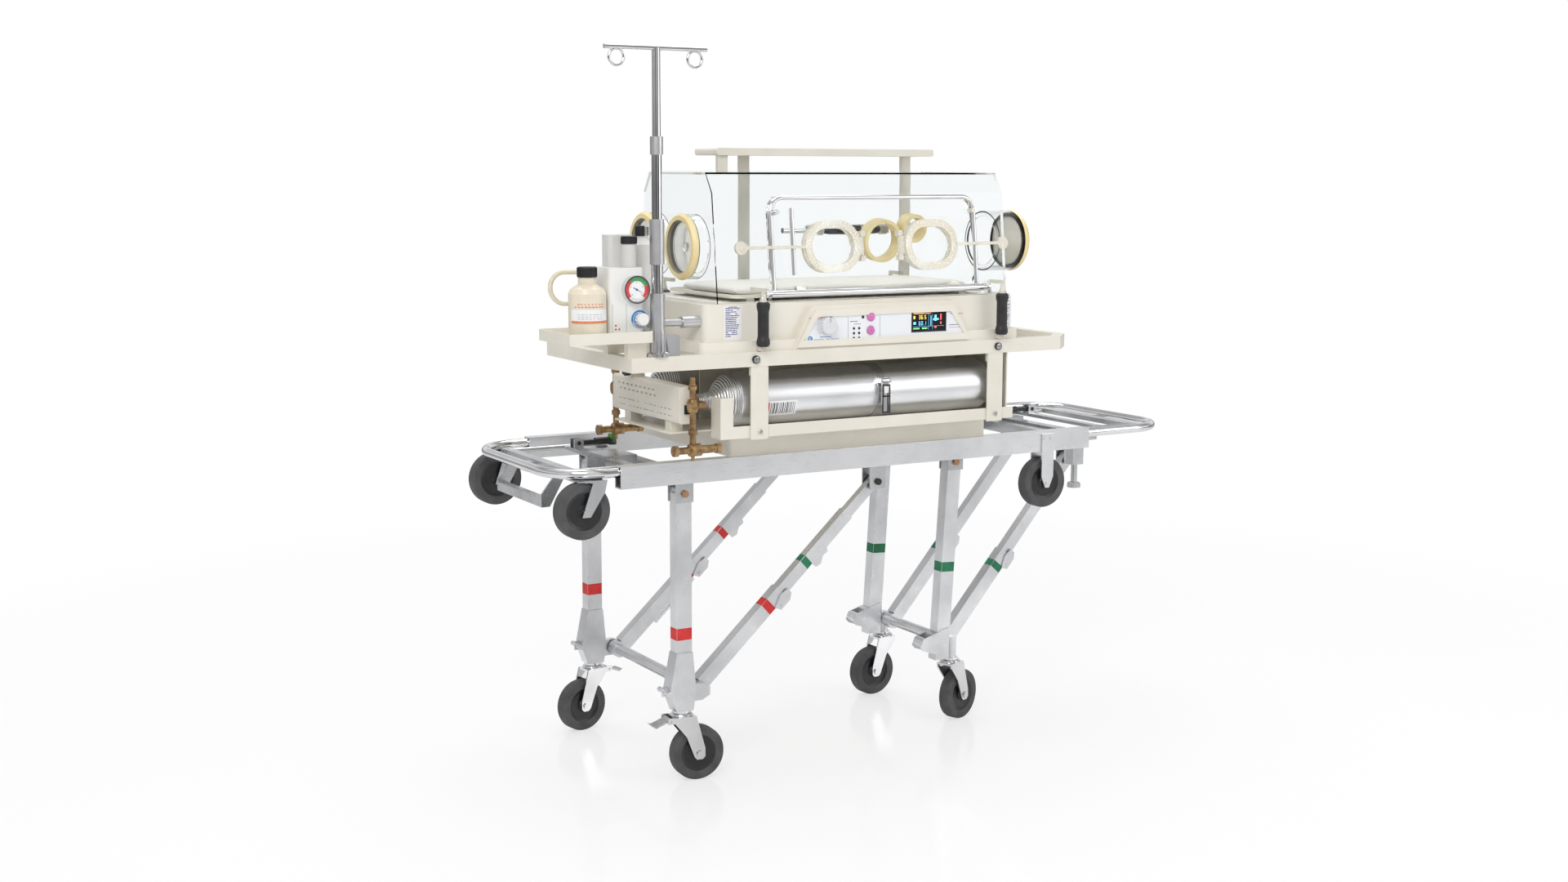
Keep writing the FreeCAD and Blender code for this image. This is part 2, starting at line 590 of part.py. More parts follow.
def right_leg_frame():
    y = across("right_leg_y")
    sleeve = rod("right_sleeve", "sleeve_radius", "sleeve_height", ("right_caster_x", y, "caster_height"))
    web = block("right_web", ("right_caster_x - right_leg_foot", "leg_width / 2", "sleeve_height - 6"),
                ("right_leg_foot", y + " - leg_width / 4", "caster_height"))
    ear_y = y + " - leg_width / 2 - shoe_wall"
    ear = plate("right_ear", "XZ",
                [("right_leg_foot + leg_depth / 2", "caster_height + 4"),
                 ("right_leg_foot + leg_depth / 2", "roller_height + 34"),
                 ("right_leg_foot - roller_reach", "roller_height + 12"),
                 ("right_leg_foot - roller_reach - 9", "roller_height - 8"),
                 ("right_leg_foot - roller_reach", "roller_height - 18")],
                "leg_width + 2 * shoe_wall", ("0", y + " + leg_width / 2 + shoe_wall", "0"))
    slot = block("right_ear_slot", ("roller_reach", "leg_width", "90"),
                 ("right_leg_foot - roller_reach - leg_depth / 2 - 10", y + " - leg_width / 2",
                  "caster_height"))
    roller = rod("right_roller", "roller_radius", "leg_width + 1",
                 ("right_leg_foot - roller_reach + 6", ear_y + " + 2.5", "roller_height"), "y")
    front = leg("right_leg", "right_leg_top", "right_leg_foot", "right_caster_x", y,
                [sleeve, web, cut("right_ears", ear, slot), roller])
    tie_half = "right_leg_y - sleeve_radius + 3"
    tie = rod("right_tie", "tie_bar_radius", "2 * (%s)" % tie_half,
              ("right_tie_x", across(tie_half), "tie_bar_height"), "y")
    keep("right_leg_frame", fuse("right_legs", front, mirrored("right_leg_back", front), tie))


def brace_angle(side):
    """Angle of a brace above the level, in degrees."""
    run = value("%s_brace_top - %s_tie_x" % (side, side))
    rise = value("brace_top_height - tie_bar_height")
    return math.degrees(math.atan2(rise, run))


def square_tube(name, start, length, shrink):
    """Level square tube along +X about the brace's axis; shrink steps it inwards per side."""
    height = "brace_height - 2 * (%s)" % shrink
    width = "brace_width - 2 * (%s)" % shrink
    outer = block(name + "_outer", (length, width, height),
                  (start, "-(%s) / 2" % width, "-(%s) / 2" % height))
    bore = block(name + "_bore", ("(%s) + 2" % length, "(%s) - 2 * brace_wall" % width,
                                  "(%s) - 2 * brace_wall" % height),
                 ("(%s) - 1" % start, "-(%s) / 2 + brace_wall" % width, "-(%s) / 2 + brace_wall" % height))
    return cut(name, outer, bore)


def brace_pair(node, side, master):
    """Place a level brace piece on the tie bar, front and back."""
    turn = FreeCAD.Rotation(FreeCAD.Vector(0, 1, 0), -brace_angle(side))
    at = ("%s_tie_x" % side, across("%s_brace_y" % side), "tie_bar_height")
    front = moved_copy(node + "_front", master, at, turn)
    keep(node, group(node + "_pair", front, mirrored(node + "_back", front)))


def brace_outer(side):
    """Lowest tube of a brace: eye on the tie bar, lock plates and a slot for the hook above."""
    length = "%s_outer_length" % side
    start = "eye_radius - 4"
    tube = square_tube(side + "_outer_tube", start, length, "0")
    eye = ring(side + "_eye", "eye_radius", "tie_bar_radius + running_gap", "brace_width",
               ("0", "-brace_width / 2", "0"), "y")
    plug = block(side + "_eye_plug", ("12", "brace_width - 2 * brace_wall", "brace_height - 2 * brace_wall"),
                 (start, "-brace_width / 2 + brace_wall", "-brace_height / 2 + brace_wall"))
    hole = rod(side + "_plug_hole", "tie_bar_radius + running_gap", "brace_width",
               ("0", "-brace_width / 2", "0"), "y")
    end = "%s + %s" % (length, start)
    shape = [(end + " - 40", "-brace_height / 2 + 4"), (end + " - 32", "-brace_height / 2 - 12"),
             (end, "-brace_height / 2 - 12"), (end + " + 14", "-brace_height / 2 - 2"),
             (end + " + 14", "-brace_height / 2 + 12"), (end + " - 10", "-brace_height / 2 + 16")]
    pieces = [tube, eye, cut(side + "_plug", plug, hole)]
    for k, y in enumerate(("-brace_width / 2", "brace_width / 2 + lock_plate")):
        pieces.append(plate("%s_lock_plate_%d" % (side, k), "XZ", shape, "lock_plate", ("0", y, "0")))
    for k, y in enumerate(("-brace_width / 2 - lock_plate - 2", "brace_width / 2 - 2")):
        pieces.append(rod("%s_lock_rivet_%d" % (side, k), "4", "lock_plate + 4",
                          (end + " - 24", y, "-brace_height / 2 - 6"), "y"))
    if side == "right":
        brace_pair("right_brace_outer", side, fuse("right_outer", *pieces))
        return
    for k, x in enumerate(("110", end + " - 50")):
        pieces.append(block("pull_rod_post_%d" % k, ("6", "6", "pull_rod_drop - brace_height / 2 + 2"),
                            (x, "brace_width / 2 - 6", "-pull_rod_drop")))
    pieces.append(rod("pull_rod", "pull_rod_radius", "%s - 160" % end,
                      ("110", "brace_width / 2 - 4", "-pull_rod_drop"), "x"))
    slot = block("hook_slot", ("%s - 60" % end, "hook_width + 2 * side_gap", "brace_wall + 2"),
                 ("64", "-hook_width / 2 - side_gap", "-brace_height / 2 - 1"))
    brace_pair("left_brace_outer", side, cut("left_outer", fuse("left_outer_solid", *pieces), slot))


def left_braces():
    """Three tubes that slide in one another; the middle one carries the hook of the lock."""
    brace_outer("left")
    slip = "brace_wall + brace_slip"
    middle = square_tube("left_middle_tube", "middle_end - left_middle_length", "left_middle_length", slip)
    half = "(brace_height / 2 - brace_wall - brace_slip)"
    hook = plate("middle_hook", "XZ",
                 [("hook_place", "-%s + 1" % half), ("hook_place", "-%s - 18" % half),
                  ("hook_place + 14", "-%s - 22" % half), ("hook_place + 30", "-%s - 12" % half),
                  ("hook_place + 46", "-%s - 14" % half), ("hook_place + 52", "-%s - 4" % half),
                  ("hook_place + 40", "-%s + 1" % half)],
                 "hook_width", ("0", "hook_width / 2", "0"))
    bore = block("hook_bore", ("60", "hook_width + 2", "3"),
                 ("hook_place", "-hook_width / 2 - 1", "-%s + brace_wall" % half))
    brace_pair("left_brace_middle", "left", fuse("left_middle", middle, cut("hook_trimmed", hook, bore)))
    inner_brace("left", "2 * (%s)" % slip, "left_inner_length")


def inner_brace(side, shrink, length):
    """Upper tube of a brace, with the eye of its open pivot and a short pin."""
    end = "sqrt((%s_brace_top - %s_tie_x)^2 + (brace_top_height - tie_bar_height)^2)" % (side, side)
    tube = square_tube(side + "_inner_tube", end + " - " + length, length + " - 6", shrink)
    height = "brace_height - 2 * (%s)" % shrink
    eye = rod(side + "_top_eye", "(%s) / 2" % height, "brace_width - 2 * (%s)" % shrink,
              (end, "-brace_width / 2 + (%s)" % shrink, "0"), "y")
    pin = rod(side + "_top_pin", "pivot_radius", "brace_width", (end, "-brace_width / 2", "0"), "y")
    brace_pair("%s_brace_inner" % side, side, fuse(side + "_inner", tube, eye, pin))


def right_braces():
    brace_outer("right")
    inner_brace("right", "brace_wall + brace_slip", "right_inner_length")


def wheel_master():
    """Tyre bonded to its core, turned about Z, middle at the origin."""
    radius, half = "wheel_radius", "wheel_width / 2"
    bore = "axle_radius + running_gap"
    rim = "hub_diameter / 2"
    tyre = lathe("tyre_master",
                 [(rim, "-%s + 2" % half), (rim, "%s - 2" % half), (radius + " - tread_round", half),
                  (radius + " - 1.5", half + " - 1.5"), (radius, half + " - tread_round"),
                  (radius, "-%s + tread_round" % half), (radius + " - 1.5", "-%s + 1.5" % half),
                  (radius + " - tread_round", "-" + half)], ("0", "0", "0"))
    core = lathe("core_master",
                 [(bore, "-" + half), ("boss_radius", "-" + half),
                  ("boss_radius + 3", "-%s + hub_recess" % half),
                  (rim + " - 7", "-%s + hub_recess" % half), (rim, "-%s + 2" % half), (rim, half + " - 2"),
                  (rim + " - 7", half + " - hub_recess"), ("boss_radius + 3", half + " - hub_recess"),
                  ("boss_radius", half), (bore, half)], ("0", "0", "0"))
    return group("wheel_master", tyre, core)


def fork_master():
    """Pressed fork with its ball race, stem and axle; the wheel trails towards +X."""
    side = [("-race_radius - 1", "crown_top"), ("race_radius + 4", "crown_top"),
            ("caster_trail + fork_nose", "wheel_radius + 12"),
            ("caster_trail + fork_nose", "wheel_radius - 7"),
            ("caster_trail + fork_nose - 6", "wheel_radius - fork_nose"),
            ("caster_trail - fork_nose + 6", "wheel_radius - fork_nose"),
            ("caster_trail - fork_nose", "wheel_radius - 7"), ("4", "wheel_radius + 42"),
            ("-race_radius - 1", "crown_low - 6")]
    front = plate("fork_side_front", "XZ", side, "fork_plate", ("0", "-fork_half", "0"))
    back = plate("fork_side_back", "XZ", side, "fork_plate", ("0", "fork_half + fork_plate", "0"))
    crown = block("fork_crown", ("2 * race_radius + 5", "2 * (fork_half + fork_plate)", "crown_thickness"),
                  ("-race_radius - 1", "-fork_half - fork_plate", "crown_low"))
    race = lathe("fork_race", [("0", "0"), ("race_radius", "0"), ("race_radius + 2", "3"),
                               ("race_radius", "6"),
                               ("race_radius - 5", "8"), ("race_radius - 5", "race_height"),
                               ("0", "race_height")],
                 ("0", "0", "crown_top"))
    stem = rod("fork_stem", "stem_radius", "stem_length", ("0", "0", "caster_height"))
    axle_half = "fork_half + fork_plate + 3"
    axle = rod("fork_axle", "axle_radius", "2 * (%s)" % axle_half,
               ("caster_trail", "-(%s)" % axle_half, "wheel_radius"), "y")
    heads = [rod("fork_nut_%d" % k, "8", "4", ("caster_trail", y, "wheel_radius"), "y")
             for k, y in enumerate(("-fork_half - fork_plate - 4", "fork_half + fork_plate"))]
    return fuse("fork_master", front, back, crown, race, stem, axle, *heads)


def pedal_lugs(name):
    """Two lugs behind a fork's crown with the bore of the brake pedal's pin."""
    lugs = [block("%s_lug_%d" % (name, k), ("18", "fork_plate", "14"),
                  ("-race_radius - 17", y, "crown_low - 8"))
            for k, y in enumerate(("-fork_half - fork_plate", "fork_half"))]
    hole = rod(name + "_lug_hole", "pedal_pin + running_gap", "80",
               ("-race_radius - 10", "-40", "crown_low - 2"), "y")
    return lugs, hole


def pedal_master():
    width = "2 * fork_half - 2 * side_gap"
    pin = rod("pedal_pin", "pedal_pin", "2 * (fork_half + fork_plate)",
              ("-race_radius - 10", "-fork_half - fork_plate", "crown_low - 2"), "y")
    barrel = rod("pedal_barrel", "pedal_pin + 3", width,
                 ("-race_radius - 10", "-(%s) / 2" % width, "crown_low - 2"), "y")
    blade = plate("pedal_blade", "XZ",
                  [("-race_radius - 10", "crown_low + 2"), ("-race_radius - 10", "crown_low - 2"),
                   ("-race_radius - pedal_length", "crown_low - 15"),
                   ("-race_radius - pedal_length - 9", "crown_low - 9"),
                   ("-race_radius - pedal_length", "crown_low - 11")],
                  width, ("0", "(%s) / 2" % width, "0"))
    return fuse("pedal_master", pin, barrel, blade)


CASTERS = {
    "left_near": ("left_leg_x", "stretcher_y - left_leg_y", "left_near_turn"),
    "left_far": ("left_leg_x", "stretcher_y + left_leg_y", "left_far_turn"),
    "right_near": ("right_caster_x", "stretcher_y - right_leg_y", "right_near_turn"),
    "right_far": ("right_caster_x", "stretcher_y + right_leg_y", "right_far_turn"),
}


def casters():
    """Four swivel casters; the two at the loading end carry brake pedals."""
    wheel = wheel_master()
    level = put(group("wheel_on_axle", wheel), ("caster_trail", "0", "wheel_radius"), TURNS["y"])
    plain = fork_master()
    lugs, hole = pedal_lugs("fork")
    braked = cut("fork_braked", fuse("fork_with_lugs", plain, *lugs), hole)
    pedal = pedal_master()
    for name, (x, y, turn) in CASTERS.items():
        swivel = FreeCAD.Rotation(FreeCAD.Vector(0, 0, 1), value(turn))
        has_brake = name.startswith("left")
        keep("caster_fork_" + name, moved_copy("fork_" + name, braked if has_brake else plain, (x, y, "0"),
                                               swivel))
        keep("caster_wheel_" + name, moved_copy("wheel_" + name, level, (x, y, "0"), swivel))
        if has_brake:
            keep("brake_pedal_" + name.split("_")[1], moved_copy("pedal_" + name, pedal, (x, y, "0"), swivel))
    return wheel


def loading_wheels(wheel):
    """Fixed wheels under both ends that carry the trolley while its legs fold."""
    x, z = "load_wheel_left_x", "load_wheel_left_z"
    for name, y in (("left_near", across("load_wheel_left_y")),
                    ("left_far", "stretcher_y + load_wheel_left_y")):
        keep("loading_wheel_" + name, moved_copy("load_" + name, wheel, (x, y, z), TURNS["y"]))
    keep("loading_wheel_right", moved_copy("load_right", wheel,
                                           ("load_wheel_right_x", across("load_wheel_left_y"),
                                            "load_wheel_right_z"),
                                           TURNS["y"]))


def left_loading_bracket():
    """L-shaped plates and a stirrup bar between the two wheels of the loading end."""
    x, z = "load_wheel_left_x", "load_wheel_left_z"
    low_bar = "cross_low + cross_height + rod_radius - 1 - end_bar_height / 2"
    shape = [(x + " - 8", z + " - 12"), (x + " + 12", z + " - 12"), (x + " + 46", z + " + 40"),
             (x + " + 52", low_bar), (x + " - 18", low_bar), (x + " - 18", z + " + 66"),
             (x + " + 18", z + " + 62")]
    pieces = []
    gap = "wheel_width / 2 + fork_gap"
    y = across("load_wheel_left_y")
    for k, low in enumerate(("%s - (%s) - load_plate" % (y, gap), "%s + (%s)" % (y, gap))):
        pieces.append(plate("left_plate_%d" % k, "XZ", shape, "load_plate",
                            ("0", low + " + load_plate", "0")))
    reach = "(%s) + load_plate + axle_end" % gap
    pieces.append(rod("left_load_axle", "axle_radius", "2 * (%s)" % reach, (x, "%s - (%s)" % (y, reach), z),
                      "y"))
    pieces.append(block("left_load_web", ("46", "2 * (%s + load_plate)" % gap, "4"),
                        (x, "%s - (%s) - load_plate" % (y, gap), low_bar + " - 4")))
    pieces.append(block("left_load_bridge", ("24", "load_wheel_left_y - rod_y + 12", "4"),
                        (x + " - 16", across("load_wheel_left_y"), low_bar + " - 4")))
    front = fuse("left_load_side", *pieces)
    bar = block("stirrup_bar", ("stirrup_bar", "2 * stirrup_half", "stirrup_bar"),
                ("stirrup_x - stirrup_bar / 2", across("stirrup_half"), z + " - 8"))
    arms = []
    for k, y in enumerate((across("stirrup_half"), "stretcher_y + stirrup_half - 6")):
        arms.append(plate("stirrup_arm_%d" % k, "XZ",
                          [("stirrup_x - stirrup_bar / 2", z + " - 8"),
                           ("stirrup_x + stirrup_bar / 2", z + " - 8"),
                           ("-end_bar_x + end_bar_width / 2", low_bar),
                           ("-end_bar_x - end_bar_width / 2", low_bar),
                           ("stirrup_x - stirrup_bar / 2", z + " + 20")],
                          "6", ("0", y + " + 6", "0")))
    keep("loading_bracket_left", group("left_load_parts", front, mirrored("left_load_back", front),
                                       fuse("stirrup", bar, *arms)))


def right_loading_bracket():
    """Pointed plate on the front rail, with an inner plate and the axle."""
    x, z = "load_wheel_right_x", "load_wheel_right_z"
    half = "load_plate_width / 2"
    shape = [("%s - %s" % (x, half), "rail_top - 6"), ("%s + %s" % (x, half), "rail_top - 6"),
             ("%s + %s" % (x, half), z + " + 16"), (x + " + 6", z + " - 12"), (x + " - 6", z + " - 12"),
             ("%s - %s" % (x, half), z + " + 16")]
    outer = plate("right_plate", "XZ", shape, "load_plate", ("0", across("side_y"), "0"))
    inner_shape = [(a, "rail_low" if b == "rail_top - 6" else b) for a, b in shape]
    gap = "wheel_width / 2 + fork_gap"
    inner_y = across("load_wheel_left_y - (%s)" % gap)
    inner = plate("right_inner_plate", "XZ", inner_shape, "load_plate", ("0", inner_y + " + load_plate", "0"))
    web = block("right_web_plate", ("load_plate_width", "side_y - load_wheel_left_y + (%s)" % gap, "4"),
                ("%s - %s" % (x, half), across("side_y"), "rail_low - 4"))
    axle = rod("right_load_axle", "axle_radius",
               "side_y - load_wheel_left_y + (%s) + 2 * load_plate + 6" % gap,
               (x, across("side_y") + " - load_plate - 3", z), "y")
    bolts = [rod("right_plate_bolt_%d" % k, "5", "4",
                 (x + shift, across("side_y") + " - load_plate - 3", "rail_top - 16"), "y")
             for k, shift in enumerate((" - 10", " + 10"))]
    keep("loading_bracket_right", fuse("right_load", outer, inner, web, axle, *bolts))


def floor_lock_foot():
    """Screw foot under the handle end that meets the catch in an ambulance floor."""
    x, y = "lock_foot_x", across("lock_foot_y")
    arm = block("lock_arm", ("lock_foot_x + 17 - rail_right + cross_width", "34", "8"),
                ("rail_right - cross_width", y + " - 17", "rail_low - 8"))
    body = block("lock_body", ("34", "30", "46"), (x + " - 17", y + " - 15", "rail_low - 54"))
    stud = rod("lock_stud", "lock_stud_radius", "50", (x, y, "rail_low - 104"))
    foot = lathe("lock_foot_disc", [("0", "0"), ("lock_foot_radius", "0"), ("lock_foot_radius", "9"),
                                    ("lock_foot_radius - 3", "13"), ("0", "13")], (x, y, "rail_low - 114"))
    keep("floor_lock_foot", fuse("lock_foot", arm, body, stud, foot))


def lower_base():
    """Folded sheet housing that lifts the cylinder bay off the rails."""
    length = "base_box_right - base_box_left"
    depth = "base_box_front + base_box_back"
    outer = block("base_box_outer", (length, depth, "base_box_height"),
                  ("base_box_left", across("base_box_front"), "rail_top"))
    inner = block("base_box_inner",
                  (length + " - 2 * sheet_wall", depth + " - 2 * sheet_wall",
                   "base_box_height - sheet_wall + 1"),
                  ("base_box_left + sheet_wall", across("base_box_front - sheet_wall"), "rail_top - 1"))
    keep("lower_base", cut("base_box", rounded("base_box_soft", outer, "8", runs_along("z")), inner))


def unit_pair(name, thing):
    return pair(name, thing, "unit_y")


def cylinder_cradle():
    """Floor, walls, front rails and upright straps of the cylinder bay."""
    floor = block("bay_floor", ("bay_right - bay_left", "2 * bay_half", "bay_floor"),
                  ("bay_left", "bay_front", "base_box_top"))
    shelf = block("bay_shelf", ("bay_left - manifold_left + 20", "manifold_back - manifold_front - 60",
                                "bay_floor"),
                  ("manifold_left - 10", "manifold_front + 30", "base_box_top"))
    wall_height = "ring_bottom - bay_deck"
    middle = block("bay_middle", ("bay_right - bay_left", "sheet_wall", wall_height),
                   ("bay_left", "unit_y", "bay_deck"))
    end = block("bay_end", ("sheet_wall", "2 * bay_half", wall_height),
                ("bay_right - sheet_wall", "bay_front", "bay_deck"))
    rail_y = "bay_front - strap_thickness"
    rail = block("bay_rail", ("bay_rail_right - bay_rail_left", "strap_thickness", "bay_rail_height"),
                 ("bay_rail_left", rail_y, "bay_rail_low"))
    post = block("bay_post", ("32", "strap_thickness", "92"), ("bay_rail_left - 24", rail_y, "bay_rail_low"))
    wing = block("bay_wing", ("strap_thickness", "44", "92"), ("bay_rail_left - 24", rail_y, "bay_rail_low"))
    straps = []
    for k, x in enumerate(("strap_left", "strap_right")):
        upright = block("strap_%d" % k, ("strap_width", "strap_thickness", "ring_bottom - bay_rail_low + 4"),
                        (x, rail_y + " - strap_thickness", "bay_rail_low - 4"))
        packer = block("strap_packer_%d" % k, ("strap_width", "strap_thickness", "20"),
                       (x, rail_y, "ring_bottom - 20"))
        bolt = rod("strap_bolt_%d" % k, "6", "3", (x + " + strap_width / 2",
                                                   rail_y + " - strap_thickness - 3",
                                                   "bay_rail_low + bay_rail_height / 2"), "y")
        straps += [rounded("strap_soft_%d" % k, upright, "2", runs_along("z")), packer, bolt]
    bracket = fuse("bay_front_set", rail, post, wing, *straps)
    below = block("bay_below", ("bay_rail_right - bay_rail_left + 80", "40",
                                "base_box_top - bay_rail_low + 10"),
                  ("bay_rail_left - 40", "unit_y + bay_half - 5", "bay_rail_low - 10"))
    back = cut("bay_back_trimmed", mirrored("bay_back_set", bracket, "unit_y"), below)
    keep("cylinder_cradle", fuse("cradle", floor, shelf, middle, end, bracket, back))


def gas_cylinders():
    """Two cylinders whose necks point to the loading end."""
    radius = "cylinder_radius"
    body = "cylinder_body_right - cylinder_body_left"
    points = [("0", "0"), (radius + " - 16", "0"), (radius + " - 5", "5"), (radius, "16"), (radius, body),
              (radius + " - 4", body + " + 13"), (radius + " - 14", body + " + 27"),
              (radius + " - 29", body + " + 40"), ("neck_radius + 6", body + " + cylinder_shoulder - 5"),
              ("neck_radius + 4", body + " + cylinder_shoulder"),
              ("neck_radius + 4", body + " + cylinder_shoulder + 12"),
              ("neck_radius", body + " + cylinder_shoulder + 12"),
              ("neck_radius", body + " + cylinder_shoulder + neck_length"),
              ("neck_bore", body + " + cylinder_shoulder + neck_length"),
              ("neck_bore", body + " + cylinder_shoulder - 8"), (radius + " - 30", body + " + 28"),
              (radius + " - cylinder_wall", body), (radius + " - cylinder_wall", "cylinder_wall + 10"),
              (radius + " - cylinder_wall - 10", "cylinder_wall"), ("0", "cylinder_wall")]
    for name, y in (("near", "front_cylinder_y"), ("far", "back_cylinder_y")):
        keep("gas_cylinder_" + name,
             lathe("cylinder_" + name, points, ("cylinder_body_right", y, "cylinder_z"), "-x"))


def cylinder_straps():
    """Steel bands round the cylinders, each with the tabs of its buckle."""
    outer = "cylinder_radius + band_thickness"
    band = ring("band", outer, "cylinder_radius", "band_width",
                ("band_x - band_width / 2", "front_cylinder_y", "cylinder_z"), "x")
    low_cut = block("band_low", ("band_width + 2", "2 * cylinder_radius", "cylinder_radius"),
                    ("band_x - band_width / 2 - 1", "front_cylinder_y - cylinder_radius",
                     "bay_deck - cylinder_radius"))
    tabs = []
    front = "front_cylinder_y - (%s)" % outer
    for k, x in enumerate(("band_x - band_width / 2 - 1", "band_x + band_width / 2 - 3")):
        tabs.append(block("buckle_tab_%d" % k, ("4", "26", "12"),
                          (x, front + " - 11", "cylinder_z + buckle_lift")))
    core = rod("band_core", "cylinder_radius", "band_width + 8",
               ("band_x - band_width / 2 - 4", "front_cylinder_y", "cylinder_z"), "x")
    hole = rod("buckle_hole", "buckle_pin + running_gap", "band_width + 8",
               ("band_x - band_width / 2 - 4", front + " - 7", "cylinder_z + buckle_lift + 6"), "x")
    whole = cut("band_set", fuse("band_tabs", cut("band_open", band, low_cut), *tabs), hole, core)
    keep("cylinder_straps", unit_pair("bands", whole))


def strap_buckle():
    """Over-centre lever that tightens the near band."""
    front = "front_cylinder_y - cylinder_radius - band_thickness"
    width = "band_width - 2 * 3 - 2 * side_gap"
    x = "band_x - (%s) / 2" % width
    pin = rod("buckle_pin", "buckle_pin", "band_width + 2",
              ("band_x - band_width / 2 - 1", front + " - 7", "cylinder_z + buckle_lift + 6"), "x")
    barrel = rod("buckle_barrel", "buckle_pin + 2", width,
                 (x, front + " - 7", "cylinder_z + buckle_lift + 6"), "x")
    lever = block("buckle_lever", (width, "3", "buckle_length"),
                  (x, front + " - 9", "cylinder_z + buckle_lift + 6 - buckle_length"))
    window = block("buckle_window", (width + " - 6", "5", "buckle_length / 2 - 12"),
                   (x + " + 3", front + " - 10", "cylinder_z + buckle_lift - buckle_length / 2 + 4"))
    keep("strap_buckle", fuse("buckle", pin, barrel, cut("buckle_plate", lever, window)))


def gas_manifold():
    """Housing of the gas regulator, with vent slots and the stub of its knob."""
    height = "manifold_height"
    box = block("manifold_box", ("manifold_depth", "manifold_back - manifold_front", height),
                ("manifold_left", "manifold_front", "manifold_bottom"))
    soft = rounded("manifold_soft", box, "7", runs_along("y"))
    slots = []
    for row, z in enumerate(("manifold_bottom + manifold_height - 20",
                             "manifold_bottom + manifold_height - 32")):
        for k in range(9):
            slots.append(block("vent_%d_%d" % (row, k), ("4", "12", "4"),
                               ("manifold_left - 1", "manifold_back - %d" % (40 + 22 * k + 8 * row), z)))
    feet = [block("manifold_foot_%d" % k, ("manifold_depth - 12", "30", "manifold_bottom - bay_deck + 2"),
                  ("manifold_left + 6", y, "bay_deck")) for k,
                  y in enumerate(("manifold_front + 50", "manifold_back - 80"))]
    seat = block("knob_seat", ("24", "24", "gas_knob_lift + 12"),
                 ("manifold_left + 8", "gas_knob_y - 12", "manifold_bottom + manifold_height - 2"))
    stub = rod("knob_stub", "shaft_radius", "22",
               ("manifold_left + 10", "gas_knob_y", "manifold_bottom + manifold_height + gas_knob_lift"),
               "-x")
    keep("gas_manifold", fuse("manifold", cut("manifold_vented", soft, *slots), seat, stub, *feet))


def round_knob(name, radius, depth, at, along, grips):
    """Knob turned to shape with grip cuts round its rim and a bore for its shaft."""
    bore = "shaft_radius + running_gap"
    body = lathe(name + "_body", [(bore, "0"), (radius, "0"), (radius, depth + " - 3"),
                                  (radius + " - 3", depth),
                                  ("0", depth), ("0", depth + " - 3"), (bore, depth + " - 3")],
                                  ("0", "0", "0"))
    cuts = []
    for k in range(grips):
        angle = 2 * math.pi * k / grips
        reach = value(radius) + 1
        cuts.append(rod("%s_cut_%d" % (name, k), "2.4", depth + " + 2",
                        (str(reach * math.cos(angle)), str(reach * math.sin(angle)), "3")))
    shaped = cut(name + "_shaped", body, *cuts) if cuts else body
    return moved_copy(name, shaped, at, TURNS[along])


def manifold_knob():
    keep("manifold_knob", round_knob("gas_knob", "gas_knob_radius", "14",
                                     ("manifold_left - 2", "gas_knob_y",
                                      "manifold_bottom + manifold_height + gas_knob_lift"), "-x", 10))


def valve(name, y, neck_y, way):
    """Brass valve: block on a cylinder neck, pipe to the front and an upright stack."""
    block_left = "cylinder_body_left - cylinder_shoulder - neck_length - 26"
    head = block(name + "_head", ("26", "30", "30"), (block_left, neck_y + " - 15", "cylinder_z - 15"))
    low, high = (y, neck_y) if way < 0 else (neck_y, y)
    pipe = rod(name + "_pipe", "valve_radius", "(%s) - (%s)" % (high, low),
               (block_left + " + 13", low, "cylinder_z"), "y")
    link = rod(name + "_link", "valve_radius", "(%s) + 13 - valve_x" % block_left,
               ("valve_x", y, "cylinder_z"), "x")
    body = lathe(name + "_body", [("0", "0"), ("valve_radius + 4", "0"), ("valve_radius + 6", "8"),
                                  ("valve_radius + 6", "22"), ("valve_radius + 3", "28"), ("0", "28")],
                 ("valve_x", y, "cylinder_z - 14"))
    stack = rod(name + "_stack", "valve_radius", "valve_high - valve_low", ("valve_x", y, "valve_low"))
    cap = lathe(name + "_cap", [("0", "0"), ("valve_radius + 3", "0"), ("valve_radius + 3", "8"),
                                ("valve_radius - 1", "10"), ("valve_radius - 1", "26"), ("0", "28")],
                ("valve_x", y, "valve_high - 14"))
    nut = lathe(name + "_nut", [("0", "0"), ("valve_radius + 3", "0"), ("valve_radius + 3", "10"),
                                ("0", "10")],
                ("valve_x", y, "valve_low + 34"))
    base = lathe(name + "_base", [("0", "0"), ("12", "0"), ("12", "10"), ("8", "12"), ("8", "38"),
                                  ("14", "40"),
                                  ("14", "66"), ("9", "68"), ("9", "104"), ("11", "104"), ("11", "116"),
                                  ("0", "116")],
                 ("valve_x - 48", y, "valve_low"), "x")
    drain = rod(name + "_drain", "4", "24", ("valve_x", y, "valve_low - 24"))
    return fuse(name, head, pipe, link, body, stack, cap, nut, base, drain)


def cylinder_valves():
    keep("cylinder_valves", group("valves", valve("near_valve", "valve_front_y", "front_cylinder_y", -1),
                                  valve("far_valve", "valve_back_y", "back_cylinder_y", 1)))


def ring_outline(inset):
    """Outline of the tray ring moved inwards; 0.414 is the tangent of half its corner's turn."""
    slant = "ring_chamfer + 0.414 * (%s)" % inset
    left, right = "ring_left + (%s)" % inset, "ring_right - (%s)" % inset
    front, back = "unit_y - ring_half + (%s)" % inset, "unit_y + ring_half - (%s)" % inset
    return [(left, front), (right + " - (%s) + (%s)" % (slant, inset), front),
            (right, front + " + (%s) - (%s)" % (slant, inset)), (right, back), (left, back)]


